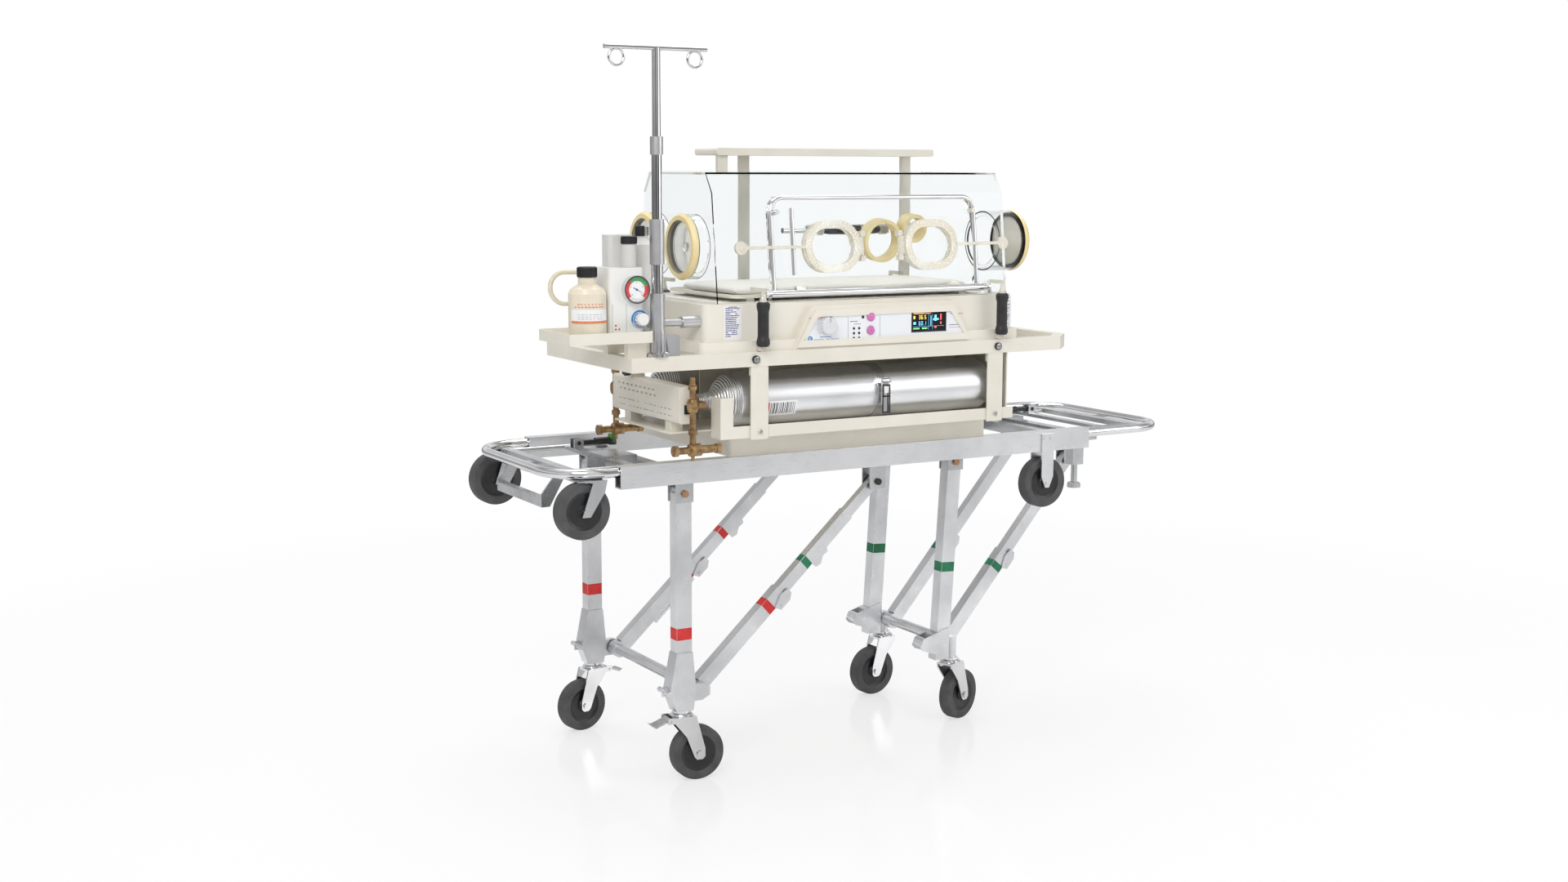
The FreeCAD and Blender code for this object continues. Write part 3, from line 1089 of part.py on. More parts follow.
def tray_ring():
    """Channel-shaped frame that the incubator stands on."""
    outer = plate("ring_outer", "XY", ring_outline("0"), "ring_height", ("0", "0", "ring_bottom"))
    hollow = plate("ring_hollow", "XY", ring_outline("ring_bar"), "ring_height + 2",
                   ("0", "0", "ring_bottom - 1"))
    deep = "ring_height - sheet_wall + 1"
    wide = plate("ring_channel_out", "XY", ring_outline("sheet_wall"), deep, ("0", "0", "ring_bottom - 1"))
    slim = plate("ring_channel_in", "XY", ring_outline("ring_bar - sheet_wall"), "ring_height + 2",
                 ("0", "0", "ring_bottom - 2"))
    channel = cut("ring_channel", wide, slim)
    bars = [block("ring_cross_%d" % k, ("ring_bar", "2 * ring_half - 2 * ring_bar + 2", "ring_height"),
                  (x, "ring_front + ring_bar - 1", "ring_bottom"))
            for k, x in enumerate(("shell_left + 8", "shell_right - ring_bar - 8"))]
    caps = [rod("ring_screw_%d" % k, "9", "5", (x, "ring_front - 5", "ring_bottom + ring_height / 2"), "y")
            for k, x in enumerate(("strap_left + 10", "strap_right + 26"))]
    keep("tray_ring", fuse("ring_frame", cut("ring_bars", outer, hollow, channel), *(bars + caps)))


def panel_outline(inset, low=None):
    """Trapezoid of the control panel, moved inwards by an amount."""
    half = "panel_width / 2 - (%s)" % inset
    bottom = low or "panel_low + (%s)" % inset
    return [("panel_centre - (%s)" % half, bottom),
            ("panel_centre + %s" % half, bottom),
            ("panel_centre + %s - panel_slope + (%s) / 2" % (half, inset),
             "panel_low + panel_height - (%s)" % inset),
            ("panel_centre - (%s) + panel_slope - (%s) / 2" % (half, inset),
             "panel_low + panel_height - (%s)" % inset)]


def base_shell():
    """Moulded housing under the hood, hollow below, with a sill and rests for the deck."""
    length = "shell_right - shell_left"
    ledge = block("shell_ledge", (length, "2 * shell_half", "ledge_height"),
                  ("shell_left", "unit_front", "ring_top"))
    upper = block("shell_upper", (length + " - 2 * ledge_inset", "2 * shell_half - 2 * ledge_inset",
                                  "shell_height"),
                  ("shell_left + ledge_inset", "body_front", "ring_top"))
    soft = [rounded("ledge_soft", ledge, "shell_round", runs_along("z")),
            rounded("upper_soft", upper, "shell_round", runs_along("z"))]
    brow = plate("panel_brow", "XZ", panel_outline("-panel_border", "ring_top"), "panel_depth - 4",
                 ("0", "body_front + 2", "0"))
    rests = [block("deck_rest_%d" % k, ("20", "2 * deck_half - 20", "deck_lift + 1 - running_gap"),
                   (x, "unit_y - deck_half + 10", "shell_top - 1"))
             for k, x in enumerate(("deck_left + 40", "deck_right - 60"))]
    hollow = block("shell_hollow",
                   (length + " - 2 * ledge_inset - 2 * shell_wall",
                    "2 * shell_half - 2 * ledge_inset - 2 * shell_wall", "shell_height - shell_wall + 1"),
                   ("shell_left + ledge_inset + shell_wall", "body_front + shell_wall", "ring_top - 1"))
    seat = plate("panel_seat", "XZ", panel_outline("0"), "panel_depth + 20", ("0", "body_front", "0"))
    keep("base_shell", cut("shell", fuse("shell_solid", *(soft + [brow] + rests)), hollow, seat))


def control_panel():
    """Panel frame, face plate and display, with bores for the knob's shaft and the buttons."""
    frame = plate("panel_frame", "XZ", panel_outline("0"), "panel_depth", ("0", "body_front", "0"))
    recess = plate("panel_recess", "XZ", panel_outline("face_margin"), "face_recess + face_plate + 1",
                   ("0", "face_front + face_plate", "0"))
    face = plate("panel_face", "XZ", panel_outline("face_margin"), "face_plate",
                 ("0", "face_front + face_plate", "0"))
    window = block("display_window", ("display_width", "face_plate + 2", "display_height"),
                   ("display_x", "face_front - 1", "display_z"))
    display = block("display", ("display_width", "face_plate - 0.5", "display_height"),
                    ("display_x", "face_front + 0.5", "display_z"))
    holes = []
    for k in range(2):
        holes.append(rod("button_bore_%d" % k, "button_radius + running_gap", "button_well + face_recess",
                         ("button_x", "panel_front - 1", "button_z - %d * button_pitch" % k), "y"))
    shaft = rod("knob_shaft", "shaft_radius", "knob_depth - 4 + face_plate + 2",
                ("knob_x", "face_front - knob_depth + 4", "knob_z"), "y")
    bored = [cut("frame_bored", frame, recess, *holes), cut("face_bored", face, window, *holes)]
    keep("control_panel", group("panel", bored[0], fuse("face_with_shaft", bored[1], shaft), display))


def panel_controls():
    knob = round_knob("panel_knob", "knob_radius", "knob_depth",
                      ("knob_x", "face_front - side_gap / 2", "knob_z"), "-y", 16)
    keep("control_knob", knob)
    for k, node in enumerate(("upper_button", "lower_button")):
        cap = lathe(node + "_cap", [("0", "0"), ("button_radius", "0"), ("button_radius", "button_depth + 3"),
                                    ("button_radius - 1.5", "button_depth + 4"), ("0", "button_depth + 4")],
                    ("button_x", "face_front + button_depth", "button_z - %d * button_pitch" % k), "-y")
        keep(node, cap)


def wall_turn():
    """Turn of the hood's front wall, whose top leans to the back."""
    lean = math.degrees(math.atan2(value("hood_lean"), value("hood_shoulder")))
    return FreeCAD.Rotation(FreeCAD.Vector(1, 0, 0), -lean)


def on_wall(name, thing):
    """Put a piece built on an upright wall at y = 0 onto the leaning front wall."""
    return moved_copy(name, thing, ("0", "hood_front", "shell_top"), wall_turn())


def hood_outline(inset):
    half = "hood_half - (%s)" % inset
    return [("unit_y - (%s)" % half, "shell_top"), ("unit_y + %s" % half, "shell_top"),
            ("unit_y + %s - hood_lean" % half, "shell_top + hood_shoulder"),
            ("unit_y + %s - hood_slope" % half, "hood_top - (%s)" % inset),
            ("unit_y - (%s) + hood_slope" % half, "hood_top - (%s)" % inset),
            ("unit_y - (%s) + hood_lean" % half, "shell_top + hood_shoulder")]


END_PORTS = {
    "left_front": ("hood_left", "-", "left_drum", -1, "end_port_z", "end_port_radius"),
    "left_back": ("hood_left", "-", "left_drum", 1, "end_port_z", "end_port_radius"),
    "right_front": ("hood_right", "+", "right_drum", -1, "end_port_z", "end_port_radius"),
}


def hood_shell():
    """Clear hood with the front opening, the end openings and the lugs of the hinge bar."""
    outer = plate("hood_outer", "YZ", hood_outline("0"), "hood_right - hood_left", ("hood_left", "0", "0"))
    inner = plate("hood_inner", "YZ", hood_outline("hood_wall"), "hood_right - hood_left - 2 * hood_wall",
                  ("hood_left + hood_wall", "0", "0"))
    floor = block("hood_floor_cut", ("hood_right - hood_left - 2 * hood_wall",
                                     "2 * hood_half - 2 * hood_wall", "4"),
                  ("hood_left + hood_wall", "hood_front + hood_wall", "shell_top - 2"))
    opening = rounded_slab("door_opening", "door_left - door_gap", "door_right + door_gap",
                           "door_low - door_gap",
                           "door_high + door_gap", "door_bend", "60", "-20")
    cuts = [inner, floor, on_wall("door_opening_placed", opening)]
    for name, (x, side, drum, way, z, radius) in END_PORTS.items():
        cuts.append(rod("end_hole_" + name, radius + " - end_port_bar", "20",
                        (x + " - 10", "unit_y + (%d) * end_port_offset" % way, z), "x"))
    ridge = [block("roof_rib_%d" % k, ("hood_right - hood_left - 60", "4", "5"),
                   ("hood_left + 30", y, "hood_top - 1"))
             for k, y in enumerate(("hood_front + hood_slope + 4", "unit_y + hood_half - hood_slope - 8"))]
    lugs = []
    bar_y = "-hinge_bar_radius - door_tube"
    for k, x in enumerate(("door_left - hinge_bar_reach", "door_right + hinge_bar_reach - 10")):
        lug = block("hinge_lug_%d" % k, ("10", "2 * hinge_bar_radius + 12", "hinge_bar_height + 13"),
                    (x, bar_y + " - hinge_bar_radius - 5", "1"))
        lugs.append(lug)
    bore = rod("hinge_bore", "hinge_bar_radius + running_gap",
               "door_right - door_left + 2 * hinge_bar_reach + 2",
               ("door_left - hinge_bar_reach - 1", bar_y, "hinge_bar_height"), "x")
    lug_set = on_wall("hinge_lugs", cut("hinge_lugs_bored", group("hinge_lug_pair", *lugs), bore))
    keep("hood_shell", fuse("hood", cut("hood_solid", fuse("hood_ribs", outer, *ridge), *cuts), lug_set))


def rounded_slab(name, left, right, low, high, corner, thickness, y):
    """Upright slab with round corners, growing from y towards the back."""
    slab = block(name + "_block", ("(%s) - (%s)" % (right, left), thickness, "(%s) - (%s)" % (high, low)),
                 (left, y, low))
    return rounded(name, slab, corner, runs_along("y"))


def oval(name, x, half_width, half_height, thickness, y):
    """Upright oval slab: straight top and bottom with half-round ends."""
    corner = "(%s) * 0.96" % half_height
    return rounded_slab(name, "%s - (%s)" % (x, half_width), "%s + %s" % (x, half_width),
                        "port_height - (%s)" % half_height, "port_height + %s" % half_height, corner,
                        thickness, y)


def access_door():
    """Clear door with its tube frame, hinge bar and the fixed halves of the port hinges."""
    slab = rounded_slab("door_slab", "door_left", "door_right", "door_low", "door_high", "door_bend - 1",
                        "door_wall", "0")
    holes = [oval("door_hole_%d" % k, x, "port_half_width - port_bar + 3",
                  "port_half_height - port_bar + 3", "20", "-8")
             for k, x in enumerate(("left_port_x", "right_port_x"))]
    tube_y = "-door_tube - 2 * running_gap"
    edge_left, edge_right = "door_left + door_tube", "door_right - door_tube"
    top = "door_high - door_tube"
    frame = bent_tube("door_frame", [(edge_left, tube_y, "hinge_bar_height"), (edge_left, tube_y, top),
                                     (edge_right, tube_y, top), (edge_right, tube_y, "hinge_bar_height")],
                      "door_tube", "door_bend")
    bar = rod("hinge_bar", "hinge_bar_radius", "door_right - door_left + 2 * hinge_bar_reach",
              ("door_left - hinge_bar_reach", "-hinge_bar_radius - door_tube", "hinge_bar_height"), "x")
    straps = [block("hinge_strap_%d" % k, ("24", "hinge_bar_radius + door_tube",
                                           "door_low - hinge_bar_height + 8"),
                    (x, "-hinge_bar_radius - door_tube", "hinge_bar_height"))
              for k, x in enumerate(("door_left + 60", "door_right - 84"))]
    lugs = []
    for name, x in (("left", "left_port_x + port_half_width + hinge_offset"),
                    ("right", "right_port_x - port_half_width - hinge_offset")):
        for k, z in enumerate(("port_height - hinge_span", "port_height + hinge_span - 12")):
            lugs.append(block("port_lug_%s_%d" % (name, k), ("12", "14", "12"), (x + " - 6", "-14", z)))
    bores = [rod("port_bore_" + name, "hinge_radius + running_gap", "2 * hinge_span + 2",
                 (x, "-8", "port_height - hinge_span - 1"))
             for name, x in (("left", "left_port_x + port_half_width + hinge_offset"),
                             ("right", "right_port_x - port_half_width - hinge_offset"))]
    stay = rod("door_stay", "5", "150", ("left_port_x - port_half_width - 24", "-4", "port_height - 62"))
    catches = [rod("door_catch_%d" % k, "6", "23", (x, "-22", "door_high - 38"), "y")
               for k, x in enumerate(("door_left + 14", "door_right - 14"))]
    slab_cut = cut("door_clear", fuse("door_lugs", slab, *lugs), *(holes + bores))
    keep("access_door", on_wall("door", fuse("door_all", slab_cut, frame, bar, stay, *(straps + catches))))


def port_doors():
    """Oval port doors, hinged next to each other, with long elbow paddles outside."""
    for name, x, way, arm in (("left", "left_port_x", -1, "left_paddle"),
                              ("right", "right_port_x", 1, "right_paddle")):
        back = "-soft_gap - port_depth"
        outer = oval(name + "_port_outer", x, "port_half_width", "port_half_height", "port_depth", back)
        inner = oval(name + "_port_inner", x, "port_half_width - port_bar", "port_half_height - port_bar",
                     "port_depth - 3", back + " - 1")
        hinge_x = x + " - (%d) * (port_half_width + hinge_offset)" % way
        pin = rod(name + "_port_pin", "hinge_radius", "2 * hinge_span",
                  (hinge_x, "-8", "port_height - hinge_span"))
        leaf_left = hinge_x if way > 0 else x + " + port_half_width - 12"
        leaf = block(name + "_port_leaf", ("hinge_offset + 12", "8", "2 * hinge_span - 28"),
                     (leaf_left, "-14", "port_height - hinge_span + 14"))
        start = x + (" + port_half_width - 4" if way > 0 else " - port_half_width + 4 - " + arm)
        bar = block(name + "_paddle_arm", (arm, "arm_size", "arm_size"),
                    (start, back + " - 3", "port_height - arm_size / 2"))
        end = x + (" + port_half_width - 4 + " if way > 0 else " - port_half_width + 4 - ") + arm
        disc = rod(name + "_paddle", "paddle_radius", "arm_size", (end, back + " - 3", "port_height"), "y")
        pieces = [cut(name + "_port_ring", outer, inner), pin, leaf, bar, disc]
        keep("port_door_" + name, on_wall(name + "_port", fuse(name + "_port_all", *pieces)))


def end_ports():
    """Drums on both ends of the hood, each closed by a sleeve port with a soft gasket."""
    things = []
    for name, (x, side, drum, way, z, radius) in END_PORTS.items():
        along = side.replace("+", "") + "x"
        at = (x, "unit_y + (%d) * end_port_offset" % way, z)
        wall = lathe("drum_" + name,
                     [(radius + " - drum_wall", "0"), (radius, "0"), (radius, drum + " - gasket_depth"),
                      (radius + " - end_port_bar", drum + " - gasket_depth"),
                      (radius + " - end_port_bar", drum + " - gasket_depth - drum_wall"),
                      (radius + " - drum_wall", drum + " - gasket_depth - drum_wall")], at, along)
        gasket = lathe("gasket_" + name,
                       [(radius + " - end_port_bar - 4", drum + " - gasket_depth"),
                        (radius, drum + " - gasket_depth"),
                        (radius + " + 2", drum + " - gasket_depth / 2"), (radius + " - 3", drum),
                        (radius + " - end_port_bar", drum)], at, along)
        iris = lathe("iris_" + name,
                     [("0", drum + " - gasket_depth - 10"),
                      (radius + " - end_port_bar - 8", drum + " - gasket_depth - drum_wall"),
                      (radius + " - end_port_bar", drum + " - gasket_depth - drum_wall"),
                      (radius + " - end_port_bar", drum + " - gasket_depth"),
                      (radius + " - end_port_bar - 8", drum + " - gasket_depth"),
                      ("10", drum + " - gasket_depth - 7"),
                      ("10", drum + " - gasket_depth - 2"), ("0", drum + " - gasket_depth - 2")], at, along)
        things += [wall, gasket, iris]
    rear = []
    for name, z in (("round", "port_height + 30"), ("oval", "port_height")):
        radius = "rear_%s_radius" % name
        rear.append(lathe("rear_" + name, [(radius + " - 9", "0"), (radius, "0"), (radius, "rear_depth"),
                                           (radius + " - 9", "rear_depth")],
                                           ("rear_%s_x" % name, "hood_wall", z), "y"))
    things.append(mirrored("rear_ports", on_wall("rear_ports_front", group("rear_collars", *rear)), "unit_y"))
    keep("end_ports", group("ports", *things))


def mattress():
    length = "deck_right - deck_left"
    tray = block("deck_block", (length, "2 * deck_half", "deck_height"),
                 ("deck_left", "unit_y - deck_half", "deck_low"))
    rim = block("deck_hollow", (length + " - 8", "2 * deck_half - 8", "deck_height"),
                ("deck_left + 4", "unit_y - deck_half + 4", "deck_low + 3"))
    keep("mattress_tray", cut("deck", rounded("deck_soft", tray, "20", runs_along("z")),
                              rounded("deck_hollow_soft", rim, "16", runs_along("z"))))
    pad = block("pad_block", (length + " - 2 * mattress_margin", "2 * deck_half - 2 * mattress_margin",
                              "mattress_height"),
                ("deck_left + mattress_margin", "unit_y - deck_half + mattress_margin", "deck_low + 3"))
    soft = rounded("pad_corners", pad, "24", runs_along("z"))
    keep("mattress", rounded("pad", soft, "5", lambda edge: edge.BoundBox.ZLength < 1e-6))


def carry_grips():
    """Four rubber grips on posts, two in front and two at the back."""
    grips = []
    for k, x in enumerate(("grip_left_x", "grip_right_x")):
        arm_y = y = "body_front - grip_stand - grip_radius"
        low = "grip_top - grip_length"
        grips.append(lathe("grip_%d" % k,
                           [("0", "0"), ("grip_radius - 3", "0"), ("grip_radius", "5"), ("grip_radius", "12"),
                            ("grip_radius - 2.5", "22"), ("grip_radius - 2.5", "grip_length - 22"),
                            ("grip_radius", "grip_length - 12"), ("grip_radius", "grip_length - 4"),
                            ("grip_radius - 4", "grip_length"), ("0", "grip_length")], (x, y, low)))
        cap = lathe("grip_post_%d" % k, [("0", "0"), ("9", "0"), ("5", "14"), ("5", "30"), ("0", "30")],
                    (x, y, "grip_top"))
        top = block("grip_arm_%d" % k, ("10", "hood_front + arm_reach - (%s)" % arm_y, "8"),
                    (x + " - 5", arm_y, "grip_top + 22"))
        low_arm = block("grip_foot_%d" % k, ("14", "grip_stand + grip_radius - ledge_inset", "10"),
                        (x + " - 7", arm_y, low + " - 10"))
        grips += [cap, top, low_arm]
    front = group("grips_front", fuse("grip_set_a", *grips[:4]), fuse("grip_set_b", *grips[4:]))
    keep("carry_grips", unit_pair("grips", front))


def top_shelf():
    """Accessory shelf on two tall posts behind the hood and a short one on its roof."""
    slab = block("shelf_slab", ("shelf_right - shelf_left", "shelf_back - shelf_front", "shelf_thickness"),
                 ("shelf_left", "shelf_front", "shelf_height"))
    well = block("shelf_well", ("shelf_right - shelf_left - 16", "shelf_back - shelf_front - 16",
                                "shelf_thickness"),
                 ("shelf_left + 8", "shelf_front + 8", "shelf_height + 4"))
    soft = rounded("shelf_soft", slab, "6", runs_along("y"))
    posts = []
    for k, x in enumerate(("post_left_x", "post_right_x")):
        posts.append(block("shelf_post_%d" % k,
                           ("post_width", "post_depth", "shelf_height - ring_top - ledge_height + 1"),
                           (x + " - post_width / 2", "unit_y + shell_half - ledge_inset",
                            "ring_top + ledge_height")))
    posts.append(block("short_post", ("post_width", "post_depth", "shelf_height - hood_top + 1"),
                       ("short_post_x - post_width / 2", "short_post_y", "hood_top")))
    keep("top_shelf", fuse("shelf", cut("shelf_tray", soft, well), *posts))


def drip_pole():
    """Two-part pole: foot and outer tube, then a sliding inner tube with two hanging rings."""
    foot = lathe("pole_foot", [("0", "0"), ("pole_foot_radius", "0"),
                               ("pole_foot_radius", "pole_foot_height - 3"),
                               ("pole_radius + 5", "pole_foot_height"), ("pole_radius + 5", "58"),
                               ("0", "58")],
                 ("pole_x", "pole_y", "ring_top"))
    tube = rod("pole_tube", "pole_radius", "pole_outer_top - ring_top", ("pole_x", "pole_y", "ring_top"))
    collars = [rod("pole_collar_%d" % k, "collar_radius", length, ("pole_x", "pole_y", z))
               for k, (length, z) in enumerate((("96", "pole_outer_top - 96"),
                                                ("94", "pole_outer_top - 252")))]
    bore = rod("pole_bore", "inner_pole_radius + running_gap", "pole_outer_top - ring_top - 40",
               ("pole_x", "pole_y", "ring_top + 41"))
    arm = block("pole_clamp_arm", ("16", "clamp_y - pole_y + 8", "18"),
                ("pole_x - 8", "pole_y", "clamp_height - 9"))
    clamp = rod("pole_clamp", "8", "shell_left + ledge_inset - pole_x",
                ("pole_x", "clamp_y", "clamp_height"), "x")
    barrel = rod("clamp_barrel", "13", "44", ("shell_left + ledge_inset - 44", "clamp_y", "clamp_height"),
                 "x")
    block_on_ring = block("pole_block", ("46", "40", "44"), ("pole_x + 4", "pole_y - 8", "ring_top"))
    pieces = fuse("pole_solid", foot, tube, arm, clamp, barrel, block_on_ring, *collars)
    keep("iv_pole_lower", cut("pole", pieces, bore))
    thick = rod("inner_pole", "inner_pole_radius", "inner_pole_top - inner_pole_low",
                ("pole_x", "pole_y", "inner_pole_low"))
    slim = rod("slim_pole", "slim_pole_radius", "pole_top - inner_pole_top + 1",
               ("pole_x", "pole_y", "inner_pole_top - 1"))
    cuff = rod("pole_cuff", "inner_pole_radius + 3", "38", ("pole_x", "pole_y", "inner_pole_top - 19"))
    bar = rod("hook_bar", "hook_bar_radius", "hook_bar_length",
              ("pole_x - hook_bar_length / 2", "pole_y", "pole_top"), "x")
    hooks = []
    for k, way in enumerate((-1, 1)):
        hook = doc.addObject("Part::Torus", "hook_%d" % k)
        bind(hook, Radius1="hook_radius", Radius2="hook_wire")
        put(hook, ("pole_x + (%d) * hook_spread" % way, "pole_y",
                   "pole_top - hook_bar_radius - hook_radius + 1"), TURNS["y"])
        hooks.append(hook)
    keep("iv_pole_upper", fuse("upper_pole", thick, slim, cuff, bar, *hooks))


def suction_unit():
    """Shelf for the suction unit, its jar, the pump and the regulator knob."""
    length = "tray_right - tray_left"
    depth = "tray_back - tray_front"
    tray = block("suction_block", (length, depth, "tray_lip"), ("tray_left", "tray_front", "tray_bottom"))
    well = block("suction_well", (length + " - 8", depth + " - 8", "tray_lip"),
                 ("tray_left + 4", "tray_front + 4", "tray_top"))
    legs = [block("suction_leg_%d" % k, ("tray_right - ring_left - 4", "20", "tray_bottom - ring_top + 2"),
                  ("ring_left", y, "ring_top")) for k, y in enumerate(("tray_front + 24", "tray_back - 44"))]
    clear = rod("pole_clearance", "pole_foot_radius + 2", "200", ("pole_x", "pole_y", "ring_top - 1"))
    wing = block("suction_wing", ("wing_right - tray_right + 10", "wing_back - wing_front", "tray_floor"),
                 ("tray_right - 10", "wing_front", "tray_bottom"))
    legs.append(wing)
    keep("suction_tray", cut("suction_shelf", fuse("suction_solid",
                                                   cut("suction_dish", rounded("suction_soft", tray, "8",
                             runs_along("z")), well), *legs), clear))
    radius, height = "bottle_radius", "bottle_height"
    jar = lathe("jar", [("0", "0"), (radius + " - 4", "0"), (radius, "5"), (radius, height + " - 34"),
                        (radius + " - 5", height + " - 24"), ("bottle_neck", height + " - 14"),
                        ("bottle_neck", height),
                        ("0", height)], ("bottle_x", "bottle_y", "tray_top"))
    cap = lathe("jar_cap", [("0", "0"), ("cap_radius", "0"), ("cap_radius", "cap_height - 2"),
                            ("cap_radius - 2", "cap_height"), ("0", "cap_height")],
                ("bottle_x", "bottle_y", "tray_top + bottle_height"))
    keep("suction_bottle", group("bottle", jar, cap))
    pump_left, pump_front = "pump_x - pump_width / 2", "pump_y - pump_depth / 2"
    case = rounded("pump_soft", block("pump_case", ("pump_width", "pump_depth", "pump_height"),
                                      (pump_left, pump_front, "tray_top")), "9", runs_along("z"))
    gauge = lathe("gauge", [("0", "0"), ("gauge_radius", "0"), ("gauge_radius", "gauge_depth"),
                            ("gauge_radius - 3", "gauge_depth"), ("gauge_radius - 4", "gauge_depth - 3"),
                            ("0", "gauge_depth - 3")],
                  ("gauge_x", pump_front, "tray_top + gauge_lift"), "-y")
    fittings = [rod("fitting_%d" % k, "hose_radius + 2", "fitting_length + 2",
                    (pump_left + " - fitting_length", "hose_y", z), "x")
                for k, z in enumerate(("hose_high", "hose_low"))]
    stub = rod("dial_stub", "shaft_radius", "dial_depth",
               ("dial_x", pump_front + " - dial_depth + 6", "tray_top + dial_lift"), "y")
    top = "tray_top + pump_height"
    can = block("canister", ("canister_width", "canister_depth", "canister_height"),
                ("pump_x - 20", "pump_y - 2", top))
    vial = lathe("vial", [("0", "0"), ("vial_radius", "0"), ("vial_radius", "vial_height - 18"),
                          ("vial_radius - 2", "vial_height - 16"), ("vial_radius + 1", "vial_height - 16"),
                          ("vial_radius + 1", "vial_height"), ("0", "vial_height")],
                          ("vial_x", "pump_y - 26", top))
    flask = lathe("flask", [("0", "0"), ("flask_radius", "0"), ("flask_radius", "flask_height - 40"),
                            ("12", "flask_height - 26"), ("12", "flask_height - 22"),
                            ("14", "flask_height - 22"),
                            ("14", "flask_height"), ("0", "flask_height")],
                            ("flask_x", "flask_y", "tray_top"))
    keep("suction_pump", group("pump", fuse("pump_body", case, gauge, stub, *fittings),
                               rounded("can_soft", can, "10", runs_along("z")), vial, flask))
    keep("regulator_knob", round_knob("dial", "dial_radius", "dial_depth",
                                      ("dial_x", pump_front + " - side_gap / 2", "tray_top + dial_lift"),
                                      "-y", 12))


def suction_hose():
    """Limp hose that loops out of the pump's side and back."""
    start = "pump_x - pump_width / 2 - fitting_length"
    bend = "hose_loop * 0.414"
    route = [(start, "hose_y", "hose_high"), (start + " - 40", "hose_y", "hose_high"),
             ("hose_left - %s" % bend, "hose_y + 2", "hose_middle + hose_loop"),
             ("hose_left - hose_loop", "hose_y + 1", "hose_middle + " + bend),
             ("hose_left - hose_loop", "hose_y - 1", "hose_middle - " + bend),
             ("hose_left - %s" % bend, "hose_y - 2", "hose_middle - hose_loop"),
             (start + " - 40", "hose_y", "hose_low"), (start, "hose_y", "hose_low")]
    keep("suction_hose", bent_tube("hose", route, "hose_radius", None))


def build_all():
    """Make every node in the order of the parts list."""
    side_rails()
    end_bumpers()
    cross_frame()
    leg_hangers()
    left_leg_frame()
    right_leg_frame()
    left_braces()
    right_braces()
    loading_wheels(casters())
    left_loading_bracket()
    right_loading_bracket()
    release_levers()
    floor_lock_foot()
    lower_base()
    cylinder_cradle()
    gas_cylinders()
    cylinder_straps()
    strap_buckle()
    gas_manifold()
    manifold_knob()
    cylinder_valves()
    tray_ring()
    base_shell()
    control_panel()
    panel_controls()
    hood_shell()
    access_door()
    port_doors()
    end_ports()
    mattress()
    carry_grips()
    top_shelf()
    drip_pole()
    suction_unit()
    suction_hose()


def check_states():
    """Stop when any object of the document failed or holds a bad shape."""
    bad = []
    for thing in doc.Objects:
        if "Invalid" in thing.State or "Error" in thing.State:
            bad.append("%s: %s" % (thing.Name, thing.State))
        elif hasattr(thing, "Shape") and thing in NODES.values():
            if thing.Shape.isNull() or not thing.Shape.isValid():
                bad.append("%s: bad shape" % thing.Label)
    if bad:
        raise RuntimeError("; ".join(bad))


def export_nodes():
    os.makedirs("parts", exist_ok=True)
    whole = FreeCAD.BoundBox()
    for node, thing in sorted(NODES.items()):
        thing.Shape.exportStep("parts/%s.step" % node)
        box = thing.Shape.BoundBox
        whole.add(box)
        print("%-24s solids %2d  volume %9.0f  x %.1f %.1f  y %.1f %.1f  z %.1f %.1f" % (
            node, len(thing.Shape.Solids), thing.Shape.Volume, box.XMin, box.XMax, box.YMin, box.YMax,
            box.ZMin, box.ZMax))
    print("nodes %d" % len(NODES))
    print("whole x %.2f %.2f  y %.2f %.2f  z %.2f %.2f" % (
        whole.XMin, whole.XMax, whole.YMin, whole.YMax, whole.ZMin, whole.ZMax))


build_all()
doc.recompute()
check_states()
export_nodes()
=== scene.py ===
"""Looks of the infant transport incubator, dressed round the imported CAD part."""
import json
import math
import random

import bmesh
import bpy
from mathutils import Matrix, Vector


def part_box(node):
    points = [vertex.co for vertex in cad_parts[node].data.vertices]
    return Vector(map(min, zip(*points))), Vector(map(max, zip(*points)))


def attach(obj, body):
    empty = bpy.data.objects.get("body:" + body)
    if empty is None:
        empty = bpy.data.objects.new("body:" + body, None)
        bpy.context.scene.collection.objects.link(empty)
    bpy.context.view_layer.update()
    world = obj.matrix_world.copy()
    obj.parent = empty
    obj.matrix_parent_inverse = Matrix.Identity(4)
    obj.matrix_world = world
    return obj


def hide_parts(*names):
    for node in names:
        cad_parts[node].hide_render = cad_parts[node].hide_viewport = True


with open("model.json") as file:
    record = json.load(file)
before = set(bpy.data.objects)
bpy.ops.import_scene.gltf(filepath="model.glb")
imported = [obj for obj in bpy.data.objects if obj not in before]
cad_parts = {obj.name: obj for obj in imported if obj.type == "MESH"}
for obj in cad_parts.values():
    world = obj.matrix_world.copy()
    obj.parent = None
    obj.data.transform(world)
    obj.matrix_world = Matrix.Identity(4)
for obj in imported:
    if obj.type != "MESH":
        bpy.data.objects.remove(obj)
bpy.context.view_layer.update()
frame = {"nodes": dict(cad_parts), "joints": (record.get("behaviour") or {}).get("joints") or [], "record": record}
NODES = frame["nodes"]
MM = 0.001
chance = random.Random(7)

